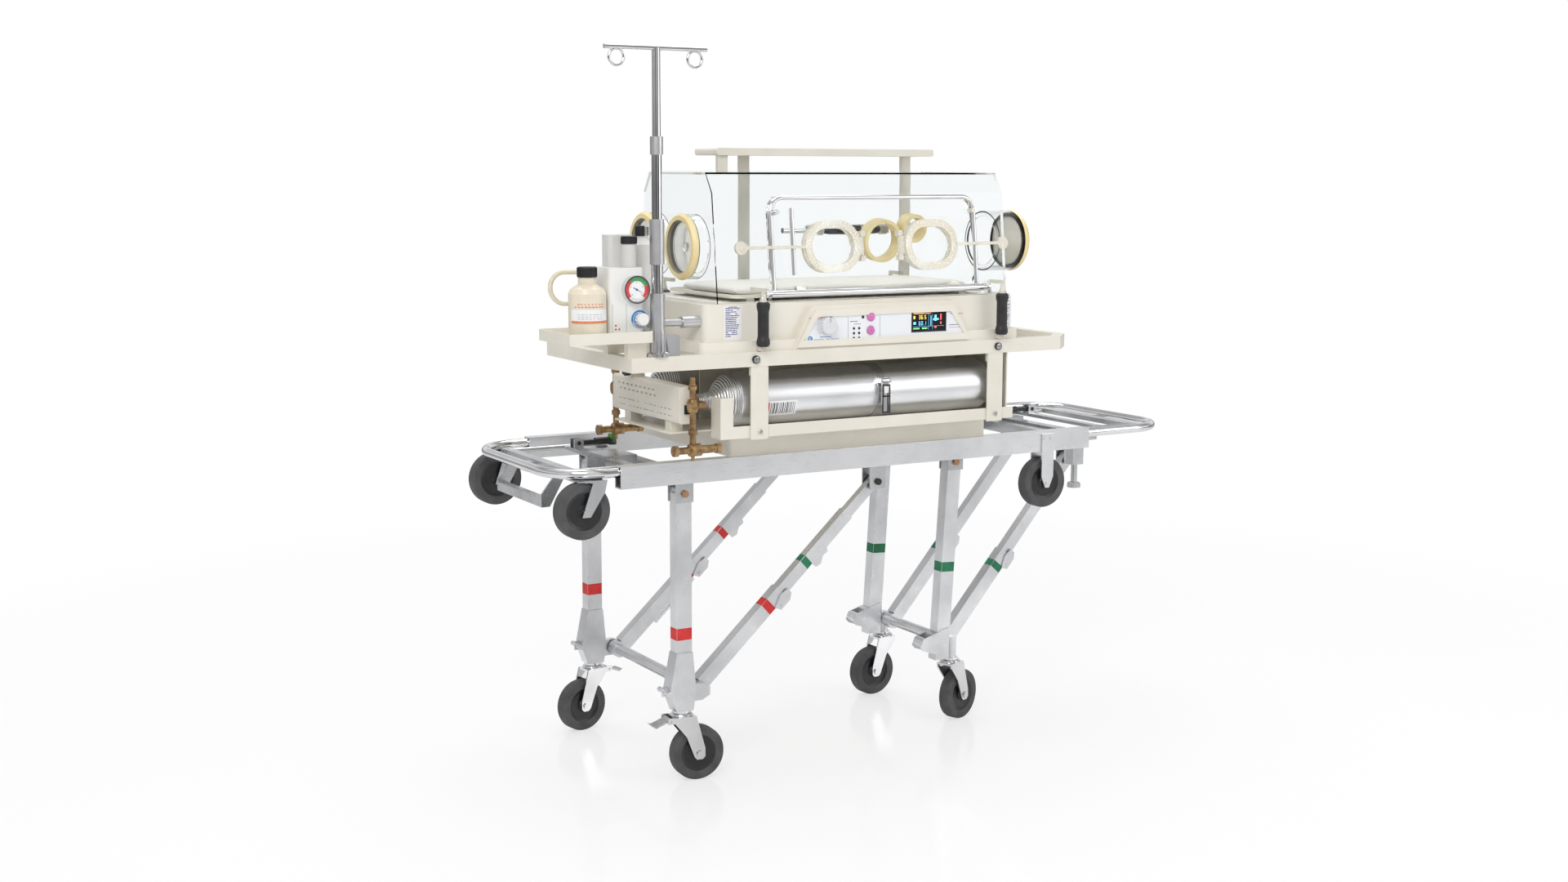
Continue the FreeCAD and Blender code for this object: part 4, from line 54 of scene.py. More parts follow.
# Places taken from the CAD source, in millimetres.
SHELL_TOP, HOOD_FRONT, LEAN = 1083, -250.5, math.atan2(26, 240)
PANEL_FACE, BUTTON_FACE, SHELL_FACE, PUMP_FACE = -281.5, -285.5, -263.55, -258.15
CYLINDER_RADIUS, CYLINDER_Z, CYLINDER_Y = 61, 865.3, -206.5
TRAY_TOP, CANISTER_BASE = 1018, 1168
KNOB = (-225, 1028)
GAUGE = (-692, 1122)
REGULATOR = (-680, 1058)
JAR, JAR_RADIUS = (-796, -246), 40
VIAL, FLASK = (-694, -238), (-636, -182)
PORT_ROUND_Z = 1205
MIDDLE_Y = 37.5
BRACE_ENDS = {"left": ((-502, 200), (-20, 642)), "right": ((251, 200), (632, 642))}


# Materials, all made from one shared surface effect.
def socket(group, name, kind, way, value=None):
    """Named input or output of a shader group."""
    made = group.interface.new_socket(name=name, in_out=way, socket_type="NodeSocket" + kind)
    if value is not None:
        made.default_value = value
    return made


def surface_group():
    """Shared surface effect: blotches of colour, streaks of roughness and fine relief."""
    group = bpy.data.node_groups.new("surface_detail", "ShaderNodeTree")
    socket(group, "Light", "Color", "INPUT", (1, 1, 1, 1))
    socket(group, "Dark", "Color", "INPUT", (0.5, 0.5, 0.5, 1))
    socket(group, "Stretch", "Vector", "INPUT", (1, 1, 1))
    socket(group, "Blotch", "Float", "INPUT", 12)
    socket(group, "Fine", "Float", "INPUT", 400)
    socket(group, "Rough low", "Float", "INPUT", 0.3)
    socket(group, "Rough high", "Float", "INPUT", 0.4)
    socket(group, "Height", "Float", "INPUT", 0.00002)
    socket(group, "Color", "Color", "OUTPUT")
    socket(group, "Roughness", "Float", "OUTPUT")
    socket(group, "Normal", "Vector", "OUTPUT")
    add, link = group.nodes.new, group.links.new
    given, out = add("NodeGroupInput"), add("NodeGroupOutput")
    place, spread = add("ShaderNodeTexCoord"), add("ShaderNodeVectorMath")
    spread.operation = "MULTIPLY"
    link(place.outputs["Object"], spread.inputs[0])
    link(given.outputs["Stretch"], spread.inputs[1])
    large, small = add("ShaderNodeTexNoise"), add("ShaderNodeTexNoise")
    large.inputs["Detail"].default_value = 5
    small.inputs["Detail"].default_value = 3
    link(place.outputs["Object"], large.inputs["Vector"])
    link(given.outputs["Blotch"], large.inputs["Scale"])
    link(spread.outputs[0], small.inputs["Vector"])
    link(given.outputs["Fine"], small.inputs["Scale"])
    sharpen = add("ShaderNodeMapRange")
    sharpen.inputs["From Min"].default_value = 0.35
    sharpen.inputs["From Max"].default_value = 0.68
    link(large.outputs["Fac"], sharpen.inputs["Value"])
    mix = add("ShaderNodeMix")
    mix.data_type = "RGBA"
    link(sharpen.outputs[0], mix.inputs["Factor"])
    link(given.outputs["Light"], mix.inputs["A"])
    link(given.outputs["Dark"], mix.inputs["B"])
    rough = add("ShaderNodeMapRange")
    rough.inputs["From Min"].default_value = 0.3
    rough.inputs["From Max"].default_value = 0.7
    link(small.outputs["Fac"], rough.inputs["Value"])
    link(given.outputs["Rough low"], rough.inputs["To Min"])
    link(given.outputs["Rough high"], rough.inputs["To Max"])
    bump = add("ShaderNodeBump")
    bump.inputs["Strength"].default_value = 0.6
    link(given.outputs["Height"], bump.inputs["Distance"])
    link(small.outputs["Fac"], bump.inputs["Height"])
    link(mix.outputs["Result"], out.inputs["Color"])
    link(rough.outputs[0], out.inputs["Roughness"])
    link(bump.outputs[0], out.inputs["Normal"])
    return group


DETAIL = surface_group()


def finish(name, light, dark, rough, stretch=(1, 1, 1), blotch=12, fine=400, height=0.00002, **sockets):
    """Material from the shared group; any further value goes on the shader's own socket."""
    made = bpy.data.materials.new(name)
    made.use_nodes = True
    tree = made.node_tree
    shader = tree.nodes["Principled BSDF"]
    detail = tree.nodes.new("ShaderNodeGroup")
    detail.node_tree = DETAIL
    detail.name = "detail"
    values = {"Light": (*light, 1), "Dark": (*dark, 1), "Stretch": stretch, "Blotch": blotch, "Fine": fine,
              "Rough low": rough[0], "Rough high": rough[1], "Height": height}
    for key, value in values.items():
        detail.inputs[key].default_value = value
    tree.links.new(detail.outputs["Color"], shader.inputs["Base Color"])
    tree.links.new(detail.outputs["Roughness"], shader.inputs["Roughness"])
    tree.links.new(detail.outputs["Normal"], shader.inputs["Normal"])
    for key, value in sockets.items():
        shader.inputs[key.replace("_", " ")].default_value = value
    return made


CREAM = (0.80, 0.765, 0.68)
paint = finish("cream_paint", CREAM, (0.755, 0.715, 0.625), (0.36, 0.5), fine=900, height=0.000015,
               Coat_Weight=0.15)
shell_plastic = finish("cream_plastic", (0.82, 0.785, 0.70), (0.775, 0.735, 0.645), (0.4, 0.55), blotch=6,
                       fine=1500, height=0.00001)
aluminium = finish("aluminium", (0.77, 0.775, 0.79), (0.61, 0.615, 0.63), (0.26, 0.42),
                   stretch=(0.06, 1, 0.05), blotch=9, fine=900, height=0.00001, Metallic=1.0)
rail_metal = finish("rail_aluminium", (0.82, 0.825, 0.835), (0.70, 0.705, 0.715), (0.26, 0.4),
                    stretch=(0.03, 1, 1), blotch=7, fine=900, height=0.00001, Metallic=1.0)
gas_metal = finish("cylinder_aluminium", (0.80, 0.805, 0.815), (0.70, 0.705, 0.715), (0.3, 0.42),
                   stretch=(0.05, 1, 1), blotch=8, fine=600, height=0.00002, Metallic=1.0)
chrome = finish("chrome", (0.76, 0.76, 0.77), (0.64, 0.64, 0.65), (0.05, 0.12), fine=700, height=0.000003,
                Metallic=1.0)
steel = finish("brushed_steel", (0.63, 0.64, 0.65), (0.48, 0.49, 0.50), (0.22, 0.4), stretch=(1, 0.1, 1),
               fine=900, height=0.00001, Metallic=1.0)
collar_steel = finish("collar_steel", (0.62, 0.62, 0.63), (0.52, 0.52, 0.53), (0.3, 0.42),
                      stretch=(1, 1, 0.1), fine=900, height=0.00001, Metallic=1.0)
brass = finish("worn_brass", (0.50, 0.33, 0.16), (0.20, 0.12, 0.06), (0.3, 0.55), blotch=70, fine=500,
               height=0.00005, Metallic=0.9)
copper = finish("copper_bolt", (0.52, 0.30, 0.17), (0.32, 0.17, 0.09), (0.3, 0.45), blotch=120, Metallic=1.0)
tyre_rubber = finish("tyre_rubber", (0.085, 0.085, 0.088), (0.055, 0.055, 0.058), (0.55, 0.75), blotch=30,
                     fine=700, height=0.00006)
hub_plastic = finish("hub_plastic", (0.018, 0.018, 0.02), (0.01, 0.01, 0.011), (0.28, 0.4), blotch=40,
                     height=0.00001)
black = finish("black_plastic", (0.02, 0.02, 0.021), (0.01, 0.01, 0.011), (0.3, 0.45), blotch=40,
               height=0.00002)
grip_rubber = finish("grip_rubber", (0.022, 0.022, 0.023), (0.012, 0.012, 0.013), (0.42, 0.6), blotch=60,
                     fine=900, height=0.00005)
acrylic = finish("clear_acrylic", (0.962, 0.975, 0.976), (0.945, 0.962, 0.963), (0.0, 0.03), blotch=3,
                 fine=60, height=0.000004, Transmission_Weight=1.0, IOR=1.16)
port_plastic = finish("port_plastic", (0.93, 0.895, 0.80), (0.87, 0.82, 0.68), (0.16, 0.3), blotch=14,
                      fine=300, height=0.00003, Transmission_Weight=0.42, Coat_Weight=0.4)
gasket = finish("yellowed_gasket", (0.87, 0.74, 0.42), (0.80, 0.64, 0.30), (0.35, 0.5), blotch=20, fine=300,
                height=0.00005)
iris_film = finish("iris_film", (0.90, 0.87, 0.79), (0.82, 0.77, 0.66), (0.3, 0.5), blotch=16, fine=160,
                   height=0.0002, Transmission_Weight=0.45)
iris_clear = finish("iris_clear", (0.95, 0.935, 0.89), (0.90, 0.875, 0.80), (0.1, 0.25), blotch=16, fine=160,
                    height=0.0001, Transmission_Weight=0.86)
cloth = finish("mattress_fabric", (0.80, 0.775, 0.72), (0.74, 0.71, 0.65), (0.6, 0.8), blotch=9, fine=1400,
               height=0.0001, Sheen_Weight=0.15)
jar_milk = finish("jar_plastic", (0.80, 0.73, 0.60), (0.74, 0.655, 0.51), (0.25, 0.38), blotch=10, fine=200,
                  height=0.00002, Subsurface_Weight=0.15, Coat_Weight=0.3)
white_plastic = finish("white_plastic", (0.84, 0.84, 0.815), (0.79, 0.785, 0.755), (0.32, 0.45), blotch=10,
                       fine=600, height=0.00001, Coat_Weight=0.1)
frosted = finish("frosted_plastic", (0.88, 0.88, 0.86), (0.83, 0.82, 0.79), (0.35, 0.5), blotch=10, fine=500,
                 height=0.00001, Transmission_Weight=0.35)
panel_film = finish("panel_film", (0.83, 0.855, 0.885), (0.80, 0.825, 0.86), (0.3, 0.4), blotch=5, fine=1500,
                    height=0.000005)
knob_grey = finish("knob_grey", (0.72, 0.73, 0.74), (0.66, 0.67, 0.68), (0.35, 0.45), blotch=40,
                   height=0.00001)
magenta = finish("button_magenta", (0.71, 0.20, 0.52), (0.62, 0.15, 0.44), (0.3, 0.4), blotch=90,
                 height=0.00001)
screen = finish("screen_glass", (0.008, 0.009, 0.012), (0.005, 0.006, 0.008), (0.06, 0.1), height=0.000001,
                Coat_Weight=0.6)
hose_rubber = finish("hose_latex", (0.87, 0.82, 0.66), (0.80, 0.74, 0.55), (0.3, 0.45), blotch=40, fine=300,
                     height=0.00003, Transmission_Weight=0.25)
green_cap = finish("green_cap", (0.10, 0.36, 0.06), (0.07, 0.28, 0.04), (0.35, 0.5), blotch=90)
paper = finish("label_paper", (0.86, 0.86, 0.87), (0.82, 0.82, 0.83), (0.4, 0.55), blotch=30, fine=900,
               height=0.00001)


def ink(name, colour, glow=0.0):
    """Plain print colour, which glows by itself on the screen."""
    dark = tuple(0.85 * c for c in colour)
    made = finish("ink_" + name, colour, dark, (0.4, 0.55), blotch=120, fine=900, height=0.000005)
    if glow:
        shader = made.node_tree.nodes["Principled BSDF"]
        shader.inputs["Emission Color"].default_value = (*colour, 1)
        shader.inputs["Emission Strength"].default_value = glow
    return made


INK = {"navy": ink("navy", (0.07, 0.08, 0.28)), "red": ink("red", (0.72, 0.06, 0.06)),
       "blue": ink("blue", (0.04, 0.24, 0.60)), "black": ink("black", (0.02, 0.02, 0.02)),
       "grey": ink("grey", (0.22, 0.23, 0.25)), "orange": ink("orange", (0.80, 0.25, 0.10)),
       "green": ink("green", (0.08, 0.35, 0.10)), "pink": ink("pink", (0.75, 0.12, 0.35)),
       "lit_yellow": ink("lit_yellow", (0.85, 0.72, 0.15), 0.9),
       "lit_cyan": ink("lit_cyan", (0.20, 0.62, 0.90), 0.9),
       "lit_green": ink("lit_green", (0.25, 0.75, 0.30), 0.8),
       "lit_red": ink("lit_red", (0.85, 0.10, 0.08), 0.8),
       "lit_orange": ink("lit_orange", (0.85, 0.35, 0.08), 0.6)}
TAPE = {"red": finish("tape_red", (0.70, 0.035, 0.03), (0.55, 0.02, 0.02), (0.5, 0.7), blotch=40, fine=1200,
                      height=0.00008),
        "green": finish("tape_green", (0.015, 0.20, 0.09), (0.01, 0.13, 0.06), (0.5, 0.7), blotch=40,
                        fine=1200, height=0.00008)}


def turned_lines():
    """Machined grooves round the shoulder of a gas cylinder."""
    tree = gas_metal.node_tree
    shader, detail = tree.nodes["Principled BSDF"], tree.nodes["detail"]
    add, link = tree.nodes.new, tree.links.new
    place, split = add("ShaderNodeTexCoord"), add("ShaderNodeSeparateXYZ")
    link(place.outputs["Object"], split.inputs[0])
    ridge, inside, product = add("ShaderNodeMath"), add("ShaderNodeMapRange"), add("ShaderNodeMath")
    wave = add("ShaderNodeMath")
    ridge.operation, wave.operation, product.operation = "MULTIPLY", "SINE", "MULTIPLY"
    ridge.inputs[1].default_value = 1400
    link(split.outputs["X"], ridge.inputs[0])
    link(ridge.outputs[0], wave.inputs[0])
    inside.inputs["From Min"].default_value = -0.430
    inside.inputs["From Max"].default_value = -0.434
    link(split.outputs["X"], inside.inputs["Value"])
    link(wave.outputs[0], product.inputs[0])
    link(inside.outputs[0], product.inputs[1])
    bump = add("ShaderNodeBump")
    bump.inputs["Distance"].default_value = 0.0008
    link(product.outputs[0], bump.inputs["Height"])
    link(detail.outputs["Normal"], bump.inputs["Normal"])
    link(bump.outputs[0], shader.inputs["Normal"])


turned_lines()


# Materials on the nodes of the CAD part.
def dress(node, *materials, choose=None):
    """Give a CAD node its materials; choose maps a face's centre, in millimetres, to an index."""
    mesh = NODES[node].data
    mesh.materials.clear()
    for material in materials:
        mesh.materials.append(material)
    if choose is None:
        for face in mesh.polygons:
            face.material_index = 0
        return
    for face in mesh.polygons:
        face.material_index = choose(face.center / MM)


def wall_place(point):
    """Coordinates of a point on the hood's leaning front wall: along, outwards and up."""
    y, z = point.y - HOOD_FRONT, point.z - SHELL_TOP
    return point.x, y * math.cos(LEAN) - z * math.sin(LEAN), y * math.sin(LEAN) + z * math.cos(LEAN)


def dress_wheels():
    """Rubber tyres on hard cores, told apart by their distance from the axle."""
    spin = {j["child"]: Vector(j["pos_m"]) / MM for j in frame["joints"] if "roll" in j["name"]}
    for body, at in spin.items():
        node = frame["record"]["behaviour"]["bodies"][body][0]
        way = next(Vector(j["axis"]) for j in frame["joints"] if j["child"] == body)

        def core(point, at=at, way=way):
            out = point - at
            return 1 if (out - out.dot(way) * way).length < 41.6 else 0
        dress(node, tyre_rubber, hub_plastic, choose=core)


def dress_ports():
    """Clear drums with yellowed rings and film, and clear panes in the two port doors."""
    drums = ((-488, -149.5, -1, 42), (-488, 34.5, -1, 42), (300, -149.5, 1, 90))

    def part(point):
        for x, y, way, depth in drums:
            out = (point.x - x) * way
            reach = math.hypot(point.y - y, point.z - PORT_ROUND_Z)
            if -1 < out < depth + 1 and reach < 76:
                if out > depth - 14.5 and reach > 58.5:
                    return 1
                return (2 if x > 0 else 3) if reach < 60 else 0
        return 1
    dress("end_ports", acrylic, gasket, iris_film, iris_clear, choose=part)
    for side, middle in (("left", -193), ("right", 76)):
        def pane(point, middle=middle):
            x, _, z = wall_place(point)
            return 1 if math.hypot(max(0.0, abs(x - middle) - 15), z - 120) < 40.5 else 0
        dress("port_door_" + side, port_plastic, acrylic, choose=pane)


def dress_door():
    """Clear sheet, metal tube frame, hinge bar and stay, and pale straps and catches."""
    def part(point):
        x, y, z = wall_place(point)
        if math.hypot(y + 13, z - 17) < 8.6 or (y < 0.4 and (x < -338 or x > 202 or z > 222)):
            return 1
        if y > -0.4:
            return 0
        return 1 if x < -280 else 2
    dress("access_door", acrylic, chrome, port_plastic, choose=part)


def dress_grips():
    """Rubber grips between their pale ends."""
    def part(point):
        return 0 if 990 < point.z < 1088.2 and (abs(point.x + 398) < 16 or abs(point.x - 252) < 16) else 1
    dress("carry_grips", grip_rubber, port_plastic, choose=part)


def dress_levers():
    """Black levers with a green cap on each tip."""
    for side, tip in (("left", -548), ("right", 608)):
        def part(point, tip=tip):
            return 1 if math.hypot(point.x - tip, point.y - 167.5) < 10.6 and point.z > 741 else 0
        dress("release_lever_" + side, black, green_cap, choose=part)


def dress_suction():
    """Caps, gauge rim and frosted canister of the suction unit, its jar and its knob."""
    def part(point):
        if CANISTER_BASE + 50.5 < point.z < 1235 and math.hypot(point.x - VIAL[0], point.y - VIAL[1]) < 17.2:
            return 1
        if point.z > TRAY_TOP + 213.5 and math.hypot(point.x + 639, point.y - FLASK[1]) < 14.4:
            return 1
        if math.hypot(point.x - GAUGE[0], point.z - GAUGE[1]) < 30.4 and point.y < PUMP_FACE - 0.05:
            return 2
        if point.z > CANISTER_BASE + 0.2 or point.x > -664:
            return 3
        return 0
    dress("suction_pump", white_plastic, black, chrome, frosted, choose=part)
    dress("suction_bottle", jar_milk, black, choose=lambda point: 1 if point.z > 1149.8 else 0)
    dress("regulator_knob", white_plastic, INK["blue"], choose=lambda point: 1 if point.y > -266 else 0)


def dress_hangers():
    """Bolt heads of the legs are copper-coloured, those of the braces black."""
    bolts = ((-555, 240, 663, 19.8, 1), (240, 155, 663, 19.8, 1), (-20, 205, 642, 17.8, 2),
             (632, 120, 642, 17.8, 2))

    def part(point):
        for x, y, z, half, index in bolts:
            if abs(point.y - MIDDLE_Y) > y + half and math.hypot(point.x - x, point.z - z) < 8.3:
                return index
        return 0
    dress("leg_hangers", steel, copper, black, choose=part)


def dress_panel():
    """Film, screen and knob shaft on the panel's plastic body."""
    def part(point):
        if abs(point.x - KNOB[0]) < 4.5 and abs(point.z - KNOB[1]) < 4.5:
            return 3
        if 7.9 < point.x < 100.1 and 1005.9 < point.z < 1052.1 and point.y < -278:
            return 2
        return 1 if PANEL_FACE - 0.4 < point.y < PANEL_FACE + 0.1 else 0
    dress("control_panel", shell_plastic, panel_film, screen, chrome, choose=part)


PLAIN = {
    "side_rails": rail_metal, "end_bumpers": chrome, "cross_frame": steel, "left_leg_frame": aluminium,
    "right_leg_frame": aluminium, "left_brace_outer": aluminium, "left_brace_middle": aluminium,
    "left_brace_inner": aluminium, "right_brace_outer": aluminium, "right_brace_inner": aluminium,
    "caster_fork_left_near": chrome, "caster_fork_left_far": chrome, "caster_fork_right_near": chrome,
    "caster_fork_right_far": chrome, "brake_pedal_near": steel, "brake_pedal_far": steel,
    "loading_bracket_left": steel, "loading_bracket_right": rail_metal, "floor_lock_foot": steel,
    "lower_base": paint, "cylinder_cradle": paint, "gas_cylinder_near": gas_metal,
    "gas_cylinder_far": gas_metal,
    "cylinder_straps": collar_steel, "strap_buckle": chrome, "gas_manifold": paint, "cylinder_valves": brass,
    "manifold_knob": black, "base_shell": shell_plastic, "control_knob": knob_grey, "upper_button": magenta,
    "lower_button": magenta, "hood_shell": acrylic,
    "mattress_tray": shell_plastic, "mattress": cloth, "top_shelf": paint, "suction_tray": paint,
    "suction_hose": hose_rubber,
}
for node_name, node_material in PLAIN.items():
    dress(node_name, node_material)
dress("tray_ring", paint, black, choose=lambda point: 1 if point.y < -285.2 else 0)
dress("iv_pole_lower", chrome, collar_steel,
      choose=lambda point: 1 if 1018 <= point.z <= 1112 or point.z > 1174 or point.x > -620 else 0)
dress("iv_pole_upper", chrome, collar_steel, choose=lambda point: 1 if 1405 < point.z < 1445 else 0)
dress_wheels()
dress_ports()
dress_door()
dress_grips()
dress_levers()
dress_suction()
dress_hangers()
dress_panel()


# Helpers for new pieces.
def piece(name, shape, material, body="frame", smooth=False, bevel=0.0):
    """Finish a bmesh in millimetres as an object at the origin that rides on a body."""
    bmesh.ops.scale(shape, vec=(MM, MM, MM), verts=shape.verts)
    bmesh.ops.recalc_face_normals(shape, faces=shape.faces)
    data = bpy.data.meshes.new(name)
    shape.to_mesh(data)
    shape.free()
    made = bpy.data.objects.new(name, data)
    bpy.context.scene.collection.objects.link(made)
    data.materials.append(material)
    for face in data.polygons:
        face.use_smooth = smooth
    if bevel:
        soft = made.modifiers.new("soft", "BEVEL")
        soft.width, soft.segments, soft.limit_method = bevel * MM, 2, "ANGLE"
    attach(made, body)
    return made


def add_box(shape, low, high):
    """Block between two corners."""
    size = [b - a for a, b in zip(low, high)]
    middle = [(a + b) / 2 for a, b in zip(low, high)]
    made = bmesh.ops.create_cube(shape, size=1)
    bmesh.ops.scale(shape, vec=size, verts=made["verts"])
    bmesh.ops.translate(shape, vec=middle, verts=made["verts"])


# Turns that point a form which stands along z to the right (x) or to the front (y).
AIM = {"z": Matrix.Identity(3), "y": Matrix.Rotation(math.radians(90), 3, "X"),
       "x": Matrix.Rotation(math.radians(90), 3, "Y")}


def add_turned(shape, profile, at, axis="z", steps=40):
    """Turned form from (radius, height) pairs, standing on a point along an axis."""
    for vert in shape.verts:
        vert.tag = True
    verts = [shape.verts.new((radius, 0, height)) for radius, height in profile]
    edges = [shape.edges.new(pair) for pair in zip(verts, verts[1:])]
    bmesh.ops.spin(shape, geom=verts + edges, cent=(0, 0, 0), axis=(0, 0, 1), angle=2 * math.pi,
                   steps=steps, use_merge=True)
    bmesh.ops.remove_doubles(shape, verts=shape.verts, dist=1e-4)
    for vert in shape.verts:
        if not vert.tag:
            vert.co = AIM[axis] @ vert.co + Vector(at)


def add_flat(shape, corners):
    """One flat face between its corners."""
    shape.faces.new([shape.verts.new(corner) for corner in corners])


def quads(name, rects, y, material, body="frame"):
    """Flat printed marks on a plane that faces the front."""
    shape = bmesh.new()
    for x0, x1, z0, z1 in rects:
        add_flat(shape, ((x0, y, z0), (x1, y, z0), (x1, y, z1), (x0, y, z1)))
    piece(name, shape, material, body)


def add_tick(shape, centre, y, degrees, inner, outer, half_width):
    """Radial line of a scale on a plane that faces the front."""
    angle = math.radians(degrees)
    way = Vector((math.cos(angle), 0, math.sin(angle)))
    side = Vector((-way.z, 0, way.x)) * half_width
    base = Vector((centre[0], y, centre[1]))
    corners = (way * inner - side, way * outer - side, way * outer + side, way * inner + side)
    add_flat(shape, [base + corner for corner in corners])


def dashes(x0, x1, z, height, share=0.8, longest=9):
    """Broken line of blocks that stands for a line of print."""
    rects, x = [], x0
    while x < x1 - 1:
        end = min(x1, x + chance.uniform(2, longest))
        if chance.random() < share:
            rects.append((x, end, z, z + height))
        x = end + 0.9
    return rects


def add_disc(shape, centre, inner, outer, y, start=0.0, end=360.0, steps=48):
    """Flat ring or sector on a plane that faces the front."""
    count = max(2, int(steps * (end - start) / 360))
    rows = []
    for k in range(count + 1):
        angle = math.radians(start + (end - start) * k / count)
        way = Vector((math.cos(angle), 0, math.sin(angle)))
        rows.append([shape.verts.new(Vector((centre[0], y, centre[1])) + way * r) for r in (inner, outer)])
    for a, b in zip(rows, rows[1:]):
        if inner < 1e-6:
            shape.faces.new((a[0], a[1], b[1]))
        else:
            shape.faces.new((a[0], a[1], b[1], b[0]))


def bent_patch(shape, axis, centre, radius, low, high, start, end, steps=24):
    """Curved sheet round an axis; for x the centre is (y, z), for z it is (x, y)."""
    rows = []
    for k in range(steps + 1):
        angle = math.radians(start + (end - start) * k / steps)
        a, b = centre[0] + radius * math.cos(angle), centre[1] + radius * math.sin(angle)
        points = [(t, a, b) if axis == "x" else (a, b, t) for t in (low, high)]
        rows.append([shape.verts.new(p) for p in points])
    for one, two in zip(rows, rows[1:]):
        shape.faces.new((one[0], one[1], two[1], two[0]))


# Coloured tapes on the legs and braces.
def sleeve(name, middle, along, tube, length, material, body, lift=0.35):
    """Tape wound round a square tube: a rounded sleeve that swells a little between its ends."""
    shape = bmesh.new()
    along = Vector(along).normalized()
    side = Vector((0, 1, 0))
    up = along.cross(side)
    half_a, half_b, round_off = tube[0] / 2 + lift, tube[1] / 2 + lift, 1.4
    outline = []
    for sa, sb in ((1, 1), (-1, 1), (-1, -1), (1, -1)):
        first = (sa * half_a, sb * (half_b - round_off))
        last = (sa * (half_a - round_off), sb * half_b)
        outline += [first, last] if sa * sb > 0 else [last, first]
    rings = []
    for step, grow in ((-0.5, 0), (-0.47, lift / 3), (0.47, lift / 3), (0.5, 0)):
        rings.append([shape.verts.new(Vector(middle) + along * length * step
                                     + side * (a + math.copysign(grow, a))
                                     + up * (b + math.copysign(grow, b)))
                      for a, b in outline])
    for low, high in zip(rings, rings[1:]):
        for k in range(len(outline)):
            n = (k + 1) % len(outline)
            shape.faces.new((low[k], low[n], high[n], high[k]))
    piece(name, shape, material, body)


def brace_point(side, along, apart):
    """Point on a brace's middle line, as far from its foot and the trolley's middle as given."""
    tie, top = BRACE_ENDS[side]
    run = Vector((top[0] - tie[0], 0, top[1] - tie[1])).normalized()
    return Vector((tie[0], 0, tie[1])) + run * along + Vector((0, MIDDLE_Y + apart, 0)), run


def leg_tapes():
    """Red tapes on the left legs, green on the right, and both on the braces."""
    leg, outer, middle = (32, 38), (28, 34), (23.4, 29.4)
    for end, y, z in (("near", -202.5, 343), ("far", 277.5, 352)):
        sleeve("tape_left_leg_" + end, (-555, y, z), (0, 0, 1), leg, 27, TAPE["red"], "left_legs")
    slant, foot = Vector((30, 0, 498)), Vector((210, 0, 165))
    for end, y, z in (("near", -117.5, 400), ("far", 192.5, 392)):
        x = foot.x + slant.x * (z - foot.z) / slant.z
        sleeve("tape_right_leg_" + end, (x, y, z), slant, (leg[0], leg[1] * 0.998), 24, TAPE["green"],
               "right_legs")
    for end, way, colour in (("near", -1, "green"), ("far", 1, "red")):
        at, run = brace_point("left", 252, way * 205)
        sleeve("tape_left_brace_%s_0" % end, at, run, outer, 20, TAPE["red"], "left_brace_low")
        at, run = brace_point("left", 392, way * 205)
        sleeve("tape_left_middle_" + end, at, run, middle, 18, TAPE[colour], "left_brace_mid", lift=0.12)
        at, run = brace_point("right", 232, way * 120)
        sleeve("tape_right_brace_" + end, at, run, outer, 18, TAPE["green"], "right_brace_low")


leg_tapes()


# Control panel and its display.
SEGMENTS = {"0": "abcdef", "1": "bc", "2": "abged", "3": "abgcd", "4": "fgbc", "5": "afgcd", "6": "afgedc",
            "7": "abc", "8": "abcdefg", "9": "abcdfg"}


def digits(text, x, z, height):
    """Seven-bar digits as rectangles, growing to the right of x."""
    width, bar, rects = height * 0.5, height * 0.12, []
    places = {"a": (0, width, height - bar, height), "d": (0, width, 0, bar),
              "g": (0, width, (height - bar) / 2, (height + bar) / 2), "f": (0, bar, height / 2, height),
              "e": (0, bar, 0, height / 2), "b": (width - bar, width, height / 2, height),
              "c": (width - bar, width, 0, height / 2)}
    for mark in text:
        if mark == ".":
            rects.append((x, x + bar, z, z + bar))
            x += bar * 2.2
            continue
        rects += [(x + a, x + b, z + c, z + d) for a, b, c, d in (places[s] for s in SEGMENTS[mark])]
        x += width + bar * 2
    return rects


PANEL_PRINT = PANEL_FACE - 0.12


def display_marks():
    """Lit digits, lines and bars on the screen, with its bezel."""
    y = PANEL_FACE + 0.4
    quads("display_bar", [(11, 42, 1045, 1048)] + dashes(44, 60, 1045, 2.6), y, INK["lit_orange"])
    quads("display_high", digits("36.5", 26, 1033, 9) + [(11, 16, 1034, 1041)], y, INK["lit_yellow"])
    quads("display_low", digits("60.1", 26, 1019, 9) + [(11, 18, 1021, 1027), (59, 61, 1017, 1041)]
          + [(70, 76, 1028, 1042), (66, 82, 1030, 1034)], y, INK["lit_cyan"])
    quads("display_green", dashes(11, 50, 1010, 3.4, 0.9, 7), y, INK["lit_green"])
    quads("display_red", [(86, 90, 1030, 1044), (86, 90, 1020, 1026), (70, 76, 1011, 1016)], y,
          INK["lit_red"])
    quads("display_rules", [(53.4, 54, 1008, 1044), (11, 97, 1016, 1016.4), (64, 64.5, 1008, 1044)], y,
          INK["lit_cyan"])
    shape = bmesh.new()
    for x0, x1, z0, z1 in ((5, 103, 1003, 1006), (5, 103, 1052, 1055), (5, 8, 1003, 1055),
                           (100, 103, 1003, 1055)):
        add_box(shape, (x0, PANEL_FACE - 0.5, z0), (x1, PANEL_FACE + 0.2, z1))
    piece("display_bezel", shape, black, bevel=0.2)


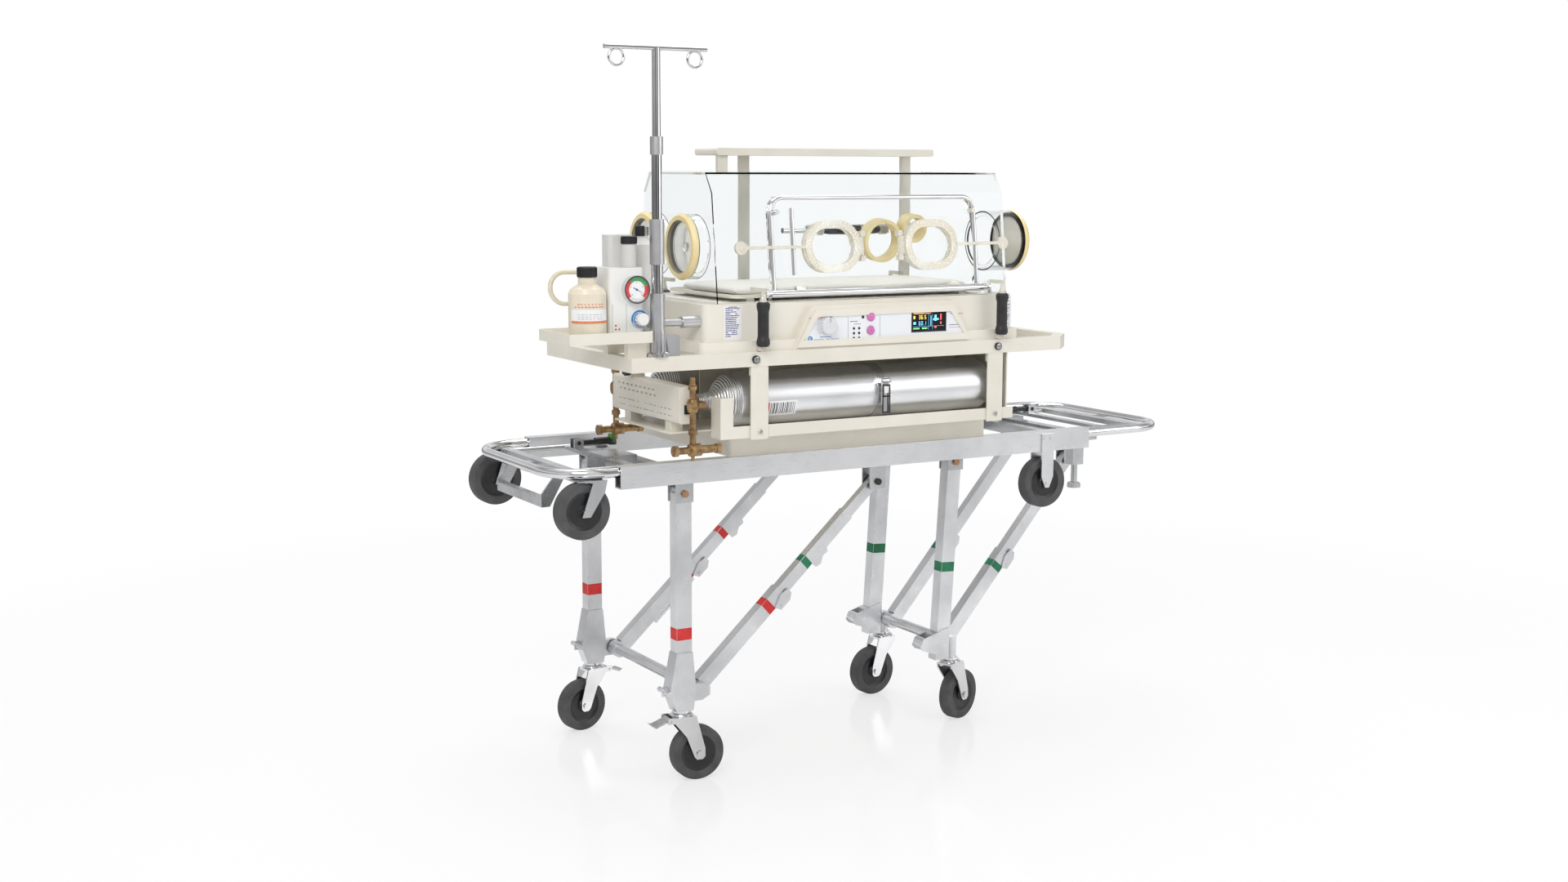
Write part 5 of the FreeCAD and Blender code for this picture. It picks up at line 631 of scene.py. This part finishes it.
def panel_print():
    """Plain lines, rules and a round mark on the panel's film."""
    y = PANEL_PRINT
    quads("panel_red_lines", dashes(-272, -212, 1046.5, 1.1, 0.9) + dashes(-266, -232, 1043.8, 0.8, 0.8), y,
          INK["red"])
    quads("panel_blue_lines", dashes(-258, -192, 996, 2.0, 0.9, 6) + dashes(-242, -212, 1002, 2.0, 0.9, 6), y,
          INK["blue"])
    quads("panel_rules", [(-168, -167.2, 994, 1046), (-82, -81.2, 994, 1046)]
          + dashes(-162, -142, 1034, 2, 0.9, 5) + dashes(-152, -132, 1028, 1.4, 0.8, 5), y, INK["grey"])
    quads("panel_pink_lines", dashes(112, 150, 1016, 2.0, 0.85, 6), y, INK["grey"])
    quads("panel_under_line", [(112, 152, 1010.6, 1011.6)], y, INK["pink"])
    quads("panel_corner_line", dashes(112, 150, 1042, 1.6, 0.8, 6), y, INK["red"])
    shape = bmesh.new()
    add_disc(shape, (-268, 1000), 0, 6.2, y)
    piece("panel_round_mark", shape, INK["blue"])
    shape = bmesh.new()
    add_disc(shape, (-268, 1000), 1.7, 3.2, y - 0.1, 30, 330)
    piece("panel_round_ring", shape, paper)


def knob_scale():
    """Arc and ticks round the panel's knob."""
    y = PANEL_PRINT
    shape = bmesh.new()
    add_disc(shape, KNOB, 23.2, 24, y, -45, 225)
    for k in range(11):
        add_tick(shape, KNOB, y, -45 + 27 * k, 24.4, 27, 0.35)
    piece("panel_knob_scale", shape, INK["grey"])


def panel_keys():
    """Small dark lamps, rings round the two buttons and the marks on the keys and the knob."""
    shape = bmesh.new()
    for x in (-152, -138):
        for z in (1019, 1008, 997):
            add_turned(shape, [(0, 2.0), (1.9, 1.6), (2.9, 0.6), (3.1, 0)], (x, PANEL_FACE, z), "y", 20)
    add_turned(shape, [(0, 2.2), (2.2, 1.8), (3.4, 0.6), (3.6, 0)], (-128, PANEL_FACE, 1044), "y", 20)
    piece("panel_lamps", shape, black, smooth=True)
    shape = bmesh.new()
    for z in (1044, 1013):
        add_disc(shape, (-107, z), 10.2, 11.0, PANEL_PRINT)
    piece("button_rings", shape, INK["grey"])
    for which, z in (("upper", 1043.4), ("lower", 1012.4)):
        quads("button_marks_" + which, [(-109, -105, z, z + 1.4)], BUTTON_FACE - 0.1, INK["navy"],
              which + "_key")
    shape = bmesh.new()
    add_box(shape, (KNOB[0] - 0.8, -299.12, KNOB[1] + 8), (KNOB[0] + 0.8, -298.9, KNOB[1] + 22))
    piece("knob_pointer", shape, INK["grey"], "panel_knob")


display_marks()
panel_print()
knob_scale()
panel_keys()


# Labels with plain lines.
def page(name, x0, x1, z0, z1, y):
    """White sheet with rows of plain lines."""
    shape = bmesh.new()
    add_box(shape, (x0, y - 0.35, z0), (x1, y, z1))
    piece(name + "_sheet", shape, paper, bevel=0.1)
    rows = []
    z = z1 - 6
    while z > z0 + 4:
        rows += dashes(x0 + 4, x1 - 4 - chance.uniform(0, 10), z, 2.0, 0.93, 12)
        z -= 4.1
    quads(name + "_lines", rows, y - 0.42, INK["navy"])
    quads(name + "_head", dashes(x0 + 12, x1 - 12, z1 - 3.2, 1.6, 0.95, 7), y - 0.42, INK["black"])


page("left_label", -478, -434, 1004, 1079, SHELL_FACE)
page("right_label", 268, 304, 1006, 1079, SHELL_FACE)


def bottle_label():
    """Paper, a band and broken lines round the jar."""
    shape = bmesh.new()
    bent_patch(shape, "z", JAR, JAR_RADIUS + 0.25, 1060, 1084, 190, 330)
    piece("bottle_paper", shape, paper, smooth=True)
    shape = bmesh.new()
    bent_patch(shape, "z", JAR, JAR_RADIUS + 0.3, 1054.5, 1060, 190, 330)
    for first, count, z, height, shortest in ((205, 9, 1088, 2.5, 5), (215, 8, 1094, 2, 4)):
        for k in range(count):
            start = first + 11 * k
            end = start + chance.uniform(shortest, 9)
            bent_patch(shape, "z", JAR, JAR_RADIUS + 0.3, z, z + height, start, end, 4)
    piece("bottle_red_lines", shape, INK["orange"], smooth=True)
    shape = bmesh.new()
    for z in (1064, 1068.5, 1073):
        for k in range(7):
            start = 215 + 12 * k
            end = start + chance.uniform(6, 11)
            bent_patch(shape, "z", JAR, JAR_RADIUS + 0.35, z, z + 0.8, start, end, 4)
    piece("bottle_grey_lines", shape, INK["grey"], smooth=True)


def barcode_label():
    """Sticker low on the near cylinder, with plain upright bars."""
    middle = (CYLINDER_Y, CYLINDER_Z)
    shape = bmesh.new()
    bent_patch(shape, "x", middle, CYLINDER_RADIUS + 0.15, -368, -292, 182, 216)
    piece("cylinder_sticker", shape, paper, smooth=True)
    shape = bmesh.new()
    x = -360
    while x < -297:
        width = chance.choice((1.2, 1.8, 2.8))
        bent_patch(shape, "x", middle, CYLINDER_RADIUS + 0.25, x, x + width, 186, 211, 10)
        x += width + chance.choice((1.4, 2.2, 3.0))
    piece("cylinder_bars", shape, INK["black"], smooth=True)
    shape = bmesh.new()
    bent_patch(shape, "x", middle, CYLINDER_RADIUS + 0.25, -366.5, -363, 184, 214, 10)
    piece("cylinder_red_edge", shape, INK["red"], smooth=True)


bottle_label()
barcode_label()


# Suction unit and its hose.
def gauge_marks():
    """Dial with its coloured arcs, ticks and needle."""
    y = -271.15
    shape = bmesh.new()
    add_disc(shape, GAUGE, 0, 18.5, y)
    piece("gauge_face", shape, paper)
    for name, start, end, colour in (("red_low", -45, 20, "red"), ("green", 20, 130, "green"),
                                     ("red_high", 130, 225, "red")):
        shape = bmesh.new()
        add_disc(shape, GAUGE, 18.5, 25.6, y, start, end)
        piece("gauge_arc_" + name, shape, INK[colour])
    shape = bmesh.new()
    add_disc(shape, GAUGE, 18.5, 25.6, y, 225, 315)
    piece("gauge_arc_rest", shape, knob_grey)
    shape = bmesh.new()
    for k in range(21):
        inner, half_width = (13.6, 0.45) if k % 5 == 0 else (15.8, 0.22)
        add_tick(shape, GAUGE, y - 0.08, -45 + 13.5 * k, inner, 17.9, half_width)
    piece("gauge_ticks", shape, INK["black"])
    shape = bmesh.new()
    way = Vector((math.cos(math.radians(-28)), 0, math.sin(math.radians(-28))))
    side = Vector((-way.z, 0, way.x))
    base = Vector((GAUGE[0], y - 0.5, GAUGE[1]))
    corners = (way * -9 - side, way * 15.5 - side * 0.25, way * 15.5 + side * 0.25, way * -9 + side)
    add_flat(shape, [base + corner for corner in corners])
    add_turned(shape, [(0, 1.4), (2.0, 1.2), (2.4, 0)], (GAUGE[0], y, GAUGE[1]), "y", 20)
    piece("gauge_needle", shape, INK["navy"])


def pump_marks():
    """Ring of the regulator, red dots and plain lines on the pump's front."""
    shape = bmesh.new()
    add_disc(shape, REGULATOR, 15.4, 19.5, PUMP_FACE)
    piece("regulator_ring", shape, INK["blue"])
    shape = bmesh.new()
    add_disc(shape, REGULATOR, 16.6, 18.2, PUMP_FACE - 0.1, 200, 340)
    piece("regulator_ring_gap", shape, paper)
    shape = bmesh.new()
    for cx, cz in ((-736, 1038), (-728, 1038), (-736, 1046)):
        add_disc(shape, (cx, cz), 0, 2.2, PUMP_FACE)
    piece("pump_red_dots", shape, INK["red"])
    quads("pump_lines", dashes(-742, -712, 1030, 1.2)
          + [(-744, -743.3, 1028, 1092), (-711, -710.4, 1028, 1092)], PUMP_FACE, INK["grey"])


gauge_marks()
pump_marks()


HOSE_DIAMETER = 0.010


def suction_cord():
    """Limp hose on the same route as the CAD tube."""
    route = [(-0.765, -0.190, 1.158), (-0.805, -0.190, 1.158), (-0.836, -0.188, 1.159),
             (-0.856, -0.189, 1.139), (-0.856, -0.191, 1.111), (-0.836, -0.192, 1.091),
             (-0.805, -0.190, 1.092), (-0.765, -0.190, 1.092)]
    data = bpy.data.curves.new("hose_line", "CURVE")
    data.dimensions = "3D"
    line = data.splines.new("NURBS")
    line.points.add(len(route) - 1)
    for point, place in zip(line.points, route):
        point.co = (*place, 1)
    line.order_u = 3
    line.use_endpoint_u = True
    line.resolution_u = 16
    data.bevel_depth = HOSE_DIAMETER / 2
    data.bevel_resolution = 6
    data.materials.append(hose_rubber)
    hose = bpy.data.objects.new("suction_hose_line", data)
    bpy.context.scene.collection.objects.link(hose)
    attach(hose, "frame")
    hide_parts("suction_hose")


suction_cord()


# Mattress.
def mattress_pad():
    """Crowned pad with a piped edge and a shallow sewn grid."""
    low, high = (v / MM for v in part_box("mattress"))
    shape = bmesh.new()
    columns, rows = 66, 30
    half_x, half_y = (high.x - low.x) / 2 - 0.3, (high.y - low.y) / 2 - 0.3
    middle_x, middle_y = (high.x + low.x) / 2, (high.y + low.y) / 2
    levels = []
    for sign in (1, -1):
        grid = []
        for j in range(rows + 1):
            line = []
            for i in range(columns + 1):
                u, v = 2 * i / columns - 1, 2 * j / rows - 1
                pull = 1 - 0.012 * (1 - u * u) * abs(v) ** 8 - 0.012 * (1 - v * v) * abs(u) ** 8
                corner = 0.93 + 0.07 * (1 - (abs(u) * abs(v)) ** 6)
                x, y = middle_x + half_x * u * pull * corner, middle_y + half_y * v * pull * corner
                rise = (1 - abs(u) ** 10) * (1 - abs(v) ** 8)
                z = (low.z + high.z) / 2 + sign * (high.z - low.z - 1.2) / 2 * max(0.0, rise) ** 0.35
                if sign > 0:
                    z -= (0.9 * math.exp(-((abs(v) - 0.86) / 0.02) ** 2)
                          + 0.6 * math.exp(-((abs(u) - 0.93) / 0.012) ** 2))
                line.append(shape.verts.new((x, y, max(z, low.z + 0.2))))
            grid.append(line)
        levels.append(grid)
    for grid in levels:
        for a, b in zip(grid, grid[1:]):
            for k in range(columns):
                shape.faces.new((a[k], a[k + 1], b[k + 1], b[k]))
    bmesh.ops.remove_doubles(shape, verts=shape.verts, dist=0.35)
    pad = piece("mattress_pad", shape, cloth, "deck", smooth=True)
    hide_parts("mattress")


mattress_pad()


# Screws, caps, buckle, handle and manifold.
def screw_heads(name, places, radius, height, axis, material):
    """Round screw heads with a hexagonal recess."""
    shape = bmesh.new()
    for place in places:
        add_turned(shape, [(radius * 0.45, height * 0.3), (radius * 0.5, height), (radius * 0.85, height),
                          (radius, height * 0.7), (radius, 0)], place, axis, 24)
        add_turned(shape, [(0, height * 0.3), (radius * 0.45, height * 0.3)], place, axis, 6)
    piece(name, shape, material)


screw_heads("ring_screws", [(-410, -289.5, 961), (251, -289.5, 961)], 6.4, 1.2, "y", chrome)
screw_heads("strap_screws", [(-397.5, -285.5, 799.5), (247.5, -285.5, 799.5)], 5.4, 2.2, "y", steel)
screw_heads("panel_screws", [(-284, PANEL_FACE, 1000), (154, PANEL_FACE, 1000)], 2.6, 0.8, "y", steel)
screw_heads("bracket_screws", [(438, -236.5, 721), (458, -236.5, 721)], 4.6, 2.0, "y", steel)


def cap_ridges(name, centre, radius, low, high, count):
    """Grip ribs round a screw cap."""
    shape = bmesh.new()
    for k in range(count):
        angle = 2 * math.pi * k / count
        x, y = centre[0] + radius * math.cos(angle), centre[1] + radius * math.sin(angle)
        add_turned(shape, [(0, 0), (0.7, 0), (0.7, high - low - 0.6), (0, high - low)], (x, y, low), "z", 6)
    piece(name, shape, black)


cap_ridges("jar_cap_ribs", JAR, 21, 1152, 1170, 44)
cap_ridges("vial_cap_ribs", VIAL, 17, 1219, 1232, 34)
cap_ridges("flask_cap_ribs", FLASK, 14, 1233, 1252, 28)


def buckle_frame():
    """Dark rim and pale inserts of the band's buckle."""
    shape = bmesh.new()
    left, right = -72.5, -51.5
    for x0, x1, z0, z1 in ((left, left + 2.4, 822, 886), (right - 2.4, right, 822, 886),
                           (left, right, 820, 823), (left, right, 857, 861), (left, right, 883, 886)):
        add_box(shape, (x0, -283, z0), (x1, -280.2, z1))
    piece("buckle_rim", shape, black, "buckle", bevel=0.5)
    shape = bmesh.new()
    add_box(shape, (left + 5, -281.6, 866), (right - 5, -280.8, 881))
    piece("buckle_insert", shape, white_plastic, "buckle", bevel=0.3)


buckle_frame()


def rear_handle():
    """Black handle with its tube and pale ends on the back of the hood."""
    at = (0, 146, 1226)
    shape = bmesh.new()
    add_turned(shape, [(0, -93), (7, -93), (7, 24), (0, 24)], at, "x", 28)
    piece("rear_handle_tube", shape, chrome)
    shape = bmesh.new()
    add_turned(shape, [(0, 22), (8, 22), (11, 40), (12, 92), (12, 128), (11, 178), (8, 200), (0, 200)], at,
               "x", 28)
    piece("rear_handle_grip", shape, black, smooth=True)
    shape = bmesh.new()
    for low, high in ((-26, -8), (6, 24), (128, 146), (188, 214)):
        add_turned(shape, [(0, low), (9, low), (13, low + 4), (13, high - 4), (9, high), (0, high)], at, "x",
                   28)
    for x in (-18, 204):
        add_box(shape, (x - 7, 132, 1217), (x + 7, 146, 1235))
    piece("rear_handle_ends", shape, port_plastic)


rear_handle()


def manifold_marks():
    """Plain speckles of print on the left face and the small black plug on its front."""
    shape = bmesh.new()
    x = -586.15
    for row in range(3):
        y = -225
        while y < 40:
            width = chance.uniform(2, 6)
            if chance.random() < 0.55 and row != 1:
                z = 838 + row * 7
                add_flat(shape, ((x, y, z), (x, y + width, z), (x, y + width, z + 2.4), (x, y, z + 2.4)))
            y += width + 3
    piece("manifold_print", shape, INK["grey"])
    shape = bmesh.new()
    add_box(shape, (-574, -262, 846), (-560, -257.9, 866))
    piece("manifold_plug", shape, black, bevel=0.8)


manifold_marks()


# Stage, lights and camera.
def lay_floor():
    """White floor with a faint mirror image, which glows towards its edge."""
    shape = bmesh.new()
    bmesh.ops.create_grid(shape, x_segments=2, y_segments=2, size=9)
    data = bpy.data.meshes.new("floor")
    shape.to_mesh(data)
    shape.free()
    floor = bpy.data.objects.new("floor", data)
    bpy.context.scene.collection.objects.link(floor)
    made = bpy.data.materials.new("white_floor")
    made.use_nodes = True
    tree = made.node_tree
    add, link = tree.nodes.new, tree.links.new
    shader, out = tree.nodes["Principled BSDF"], tree.nodes["Material Output"]
    shader.inputs["Base Color"].default_value = (0.93, 0.93, 0.93, 1)
    shader.inputs["Roughness"].default_value = 0.14
    shader.inputs["Specular IOR Level"].default_value = 0.35
    glow, mix, rays = add("ShaderNodeEmission"), add("ShaderNodeMixShader"), add("ShaderNodeLightPath")
    glow.inputs["Strength"].default_value = 1.0
    share, place, reach, fade = (add(kind) for kind in ("ShaderNodeMath", "ShaderNodeTexCoord",
                                                        "ShaderNodeVectorMath", "ShaderNodeMapRange"))
    share.operation, reach.operation = "MULTIPLY", "LENGTH"
    link(place.outputs["Object"], reach.inputs[0])
    link(reach.outputs["Value"], fade.inputs["Value"])
    for key, amount in (("From Min", 0.9), ("From Max", 3.2), ("To Min", 0.62), ("To Max", 1.0)):
        fade.inputs[key].default_value = amount
    link(fade.outputs[0], share.inputs[1])
    link(rays.outputs["Is Camera Ray"], share.inputs[0])
    link(share.outputs[0], mix.inputs["Fac"])
    link(shader.outputs[0], mix.inputs[1])
    link(glow.outputs[0], mix.inputs[2])
    link(mix.outputs[0], out.inputs["Surface"])
    data.materials.append(made)


def fill_ramp(ramp, stops, blue=1.0):
    """Grey levels at their places along a colour ramp."""
    elements = ramp.color_ramp.elements
    while len(elements) < len(stops):
        elements.new(0.5)
    for element, (place, level) in zip(elements, stops):
        element.position = place
        element.color = (level, level, level * blue, 1)


def light_world():
    """White world for the camera, with bright and dark bands for the metal to mirror."""
    world = bpy.data.worlds.new("studio")
    bpy.context.scene.world = world
    world.use_nodes = True
    tree = world.node_tree
    add, link = tree.nodes.new, tree.links.new
    sky, out = tree.nodes["Background"], tree.nodes["World Output"]
    rays, white, glossy = add("ShaderNodeLightPath"), add("ShaderNodeBackground"), add("ShaderNodeBackground")
    sky.inputs["Color"].default_value = (1, 1, 1, 1)
    sky.inputs["Strength"].default_value = 0.62
    white.inputs["Color"].default_value = (1, 1, 1, 1)
    white.inputs["Strength"].default_value = 1.0
    place, split, ramp = add("ShaderNodeTexCoord"), add("ShaderNodeSeparateXYZ"), add("ShaderNodeValToRGB")
    link(place.outputs["Generated"], split.inputs[0])
    shift = add("ShaderNodeMapRange")
    shift.inputs["From Min"].default_value = -1
    link(split.outputs["Z"], shift.inputs["Value"])
    link(shift.outputs[0], ramp.inputs["Fac"])
    fill_ramp(ramp, ((0.0, 0.75), (0.42, 0.55), (0.49, 0.16), (0.53, 0.5), (0.62, 0.95), (0.78, 0.42),
                     (1.0, 1.0)), blue=1.01)
    around, turn, flags = add("ShaderNodeMath"), add("ShaderNodeMapRange"), add("ShaderNodeValToRGB")
    around.operation = "ARCTAN2"
    link(split.outputs["Y"], around.inputs[0])
    link(split.outputs["X"], around.inputs[1])
    turn.inputs["From Min"].default_value = -math.pi
    turn.inputs["From Max"].default_value = math.pi
    link(around.outputs[0], turn.inputs["Value"])
    link(turn.outputs[0], flags.inputs["Fac"])
    fill_ramp(flags, ((0.0, 0.8), (0.08, 1.0), (0.13, 0.3), (0.17, 0.22), (0.2, 1.15), (0.27, 1.1),
                      (0.3, 0.2), (0.34, 0.28), (0.37, 1.1), (0.46, 1.0), (0.5, 0.3), (0.56, 0.9),
                      (0.8, 0.75), (1.0, 0.8)))
    mingle = add("ShaderNodeMix")
    mingle.data_type, mingle.blend_type = "RGBA", "MULTIPLY"
    mingle.inputs["Factor"].default_value = 0.8
    link(ramp.outputs["Color"], mingle.inputs["A"])
    link(flags.outputs["Color"], mingle.inputs["B"])
    link(mingle.outputs["Result"], glossy.inputs["Color"])
    glossy.inputs["Strength"].default_value = 1.15
    seen = add("ShaderNodeMath")
    seen.operation = "MAXIMUM"
    link(rays.outputs["Is Camera Ray"], seen.inputs[0])
    link(rays.outputs["Is Transmission Ray"], seen.inputs[1])
    first, second = add("ShaderNodeMixShader"), add("ShaderNodeMixShader")
    link(rays.outputs["Is Glossy Ray"], first.inputs["Fac"])
    link(sky.outputs[0], first.inputs[1])
    link(glossy.outputs[0], first.inputs[2])
    link(seen.outputs[0], second.inputs["Fac"])
    link(first.outputs[0], second.inputs[1])
    link(white.outputs[0], second.inputs[2])
    link(second.outputs[0], out.inputs["Surface"])


def lamp(name, place, aim, size, power):
    """Square soft light that faces a point."""
    data = bpy.data.lights.new(name, "AREA")
    data.shape, data.size, data.energy = "SQUARE", size, power
    made = bpy.data.objects.new(name, data)
    made.location = place
    made.rotation_euler = (Vector(aim) - Vector(place)).to_track_quat("-Z", "Y").to_euler()
    bpy.context.scene.collection.objects.link(made)


def camera():
    """Camera fitted to the photograph's perspective."""
    turn, pitch, roll = math.radians(30.3), math.radians(8.25), math.radians(0.2)
    ahead = Vector((math.sin(turn) * math.cos(pitch), math.cos(turn) * math.cos(pitch), -math.sin(pitch)))
    right = Vector((math.cos(turn), -math.sin(turn), 0))
    up = right.cross(ahead)
    right, up = right * math.cos(roll) + up * math.sin(roll), up * math.cos(roll) - right * math.sin(roll)
    data = bpy.data.cameras.new("camera")
    data.lens, data.sensor_width = 43.31, 36
    made = bpy.data.objects.new("camera", data)
    basis = Matrix((right, up, -ahead)).transposed().to_4x4()
    made.matrix_world = Matrix.Translation((-2.445, -3.8925, 1.38)) @ basis
    bpy.context.scene.collection.objects.link(made)
    bpy.context.scene.camera = made


lay_floor()
light_world()
lamp("key", (-2.6, -2.6, 3.2), (0, 0, 0.8), 1.8, 62)
lamp("fill", (2.8, -3.2, 2.0), (0.1, 0, 0.8), 2.4, 34)
lamp("top", (0.2, 0.8, 3.6), (0, 0, 0.9), 2.6, 48)
camera()
bpy.context.scene.view_settings.view_transform = "Standard"
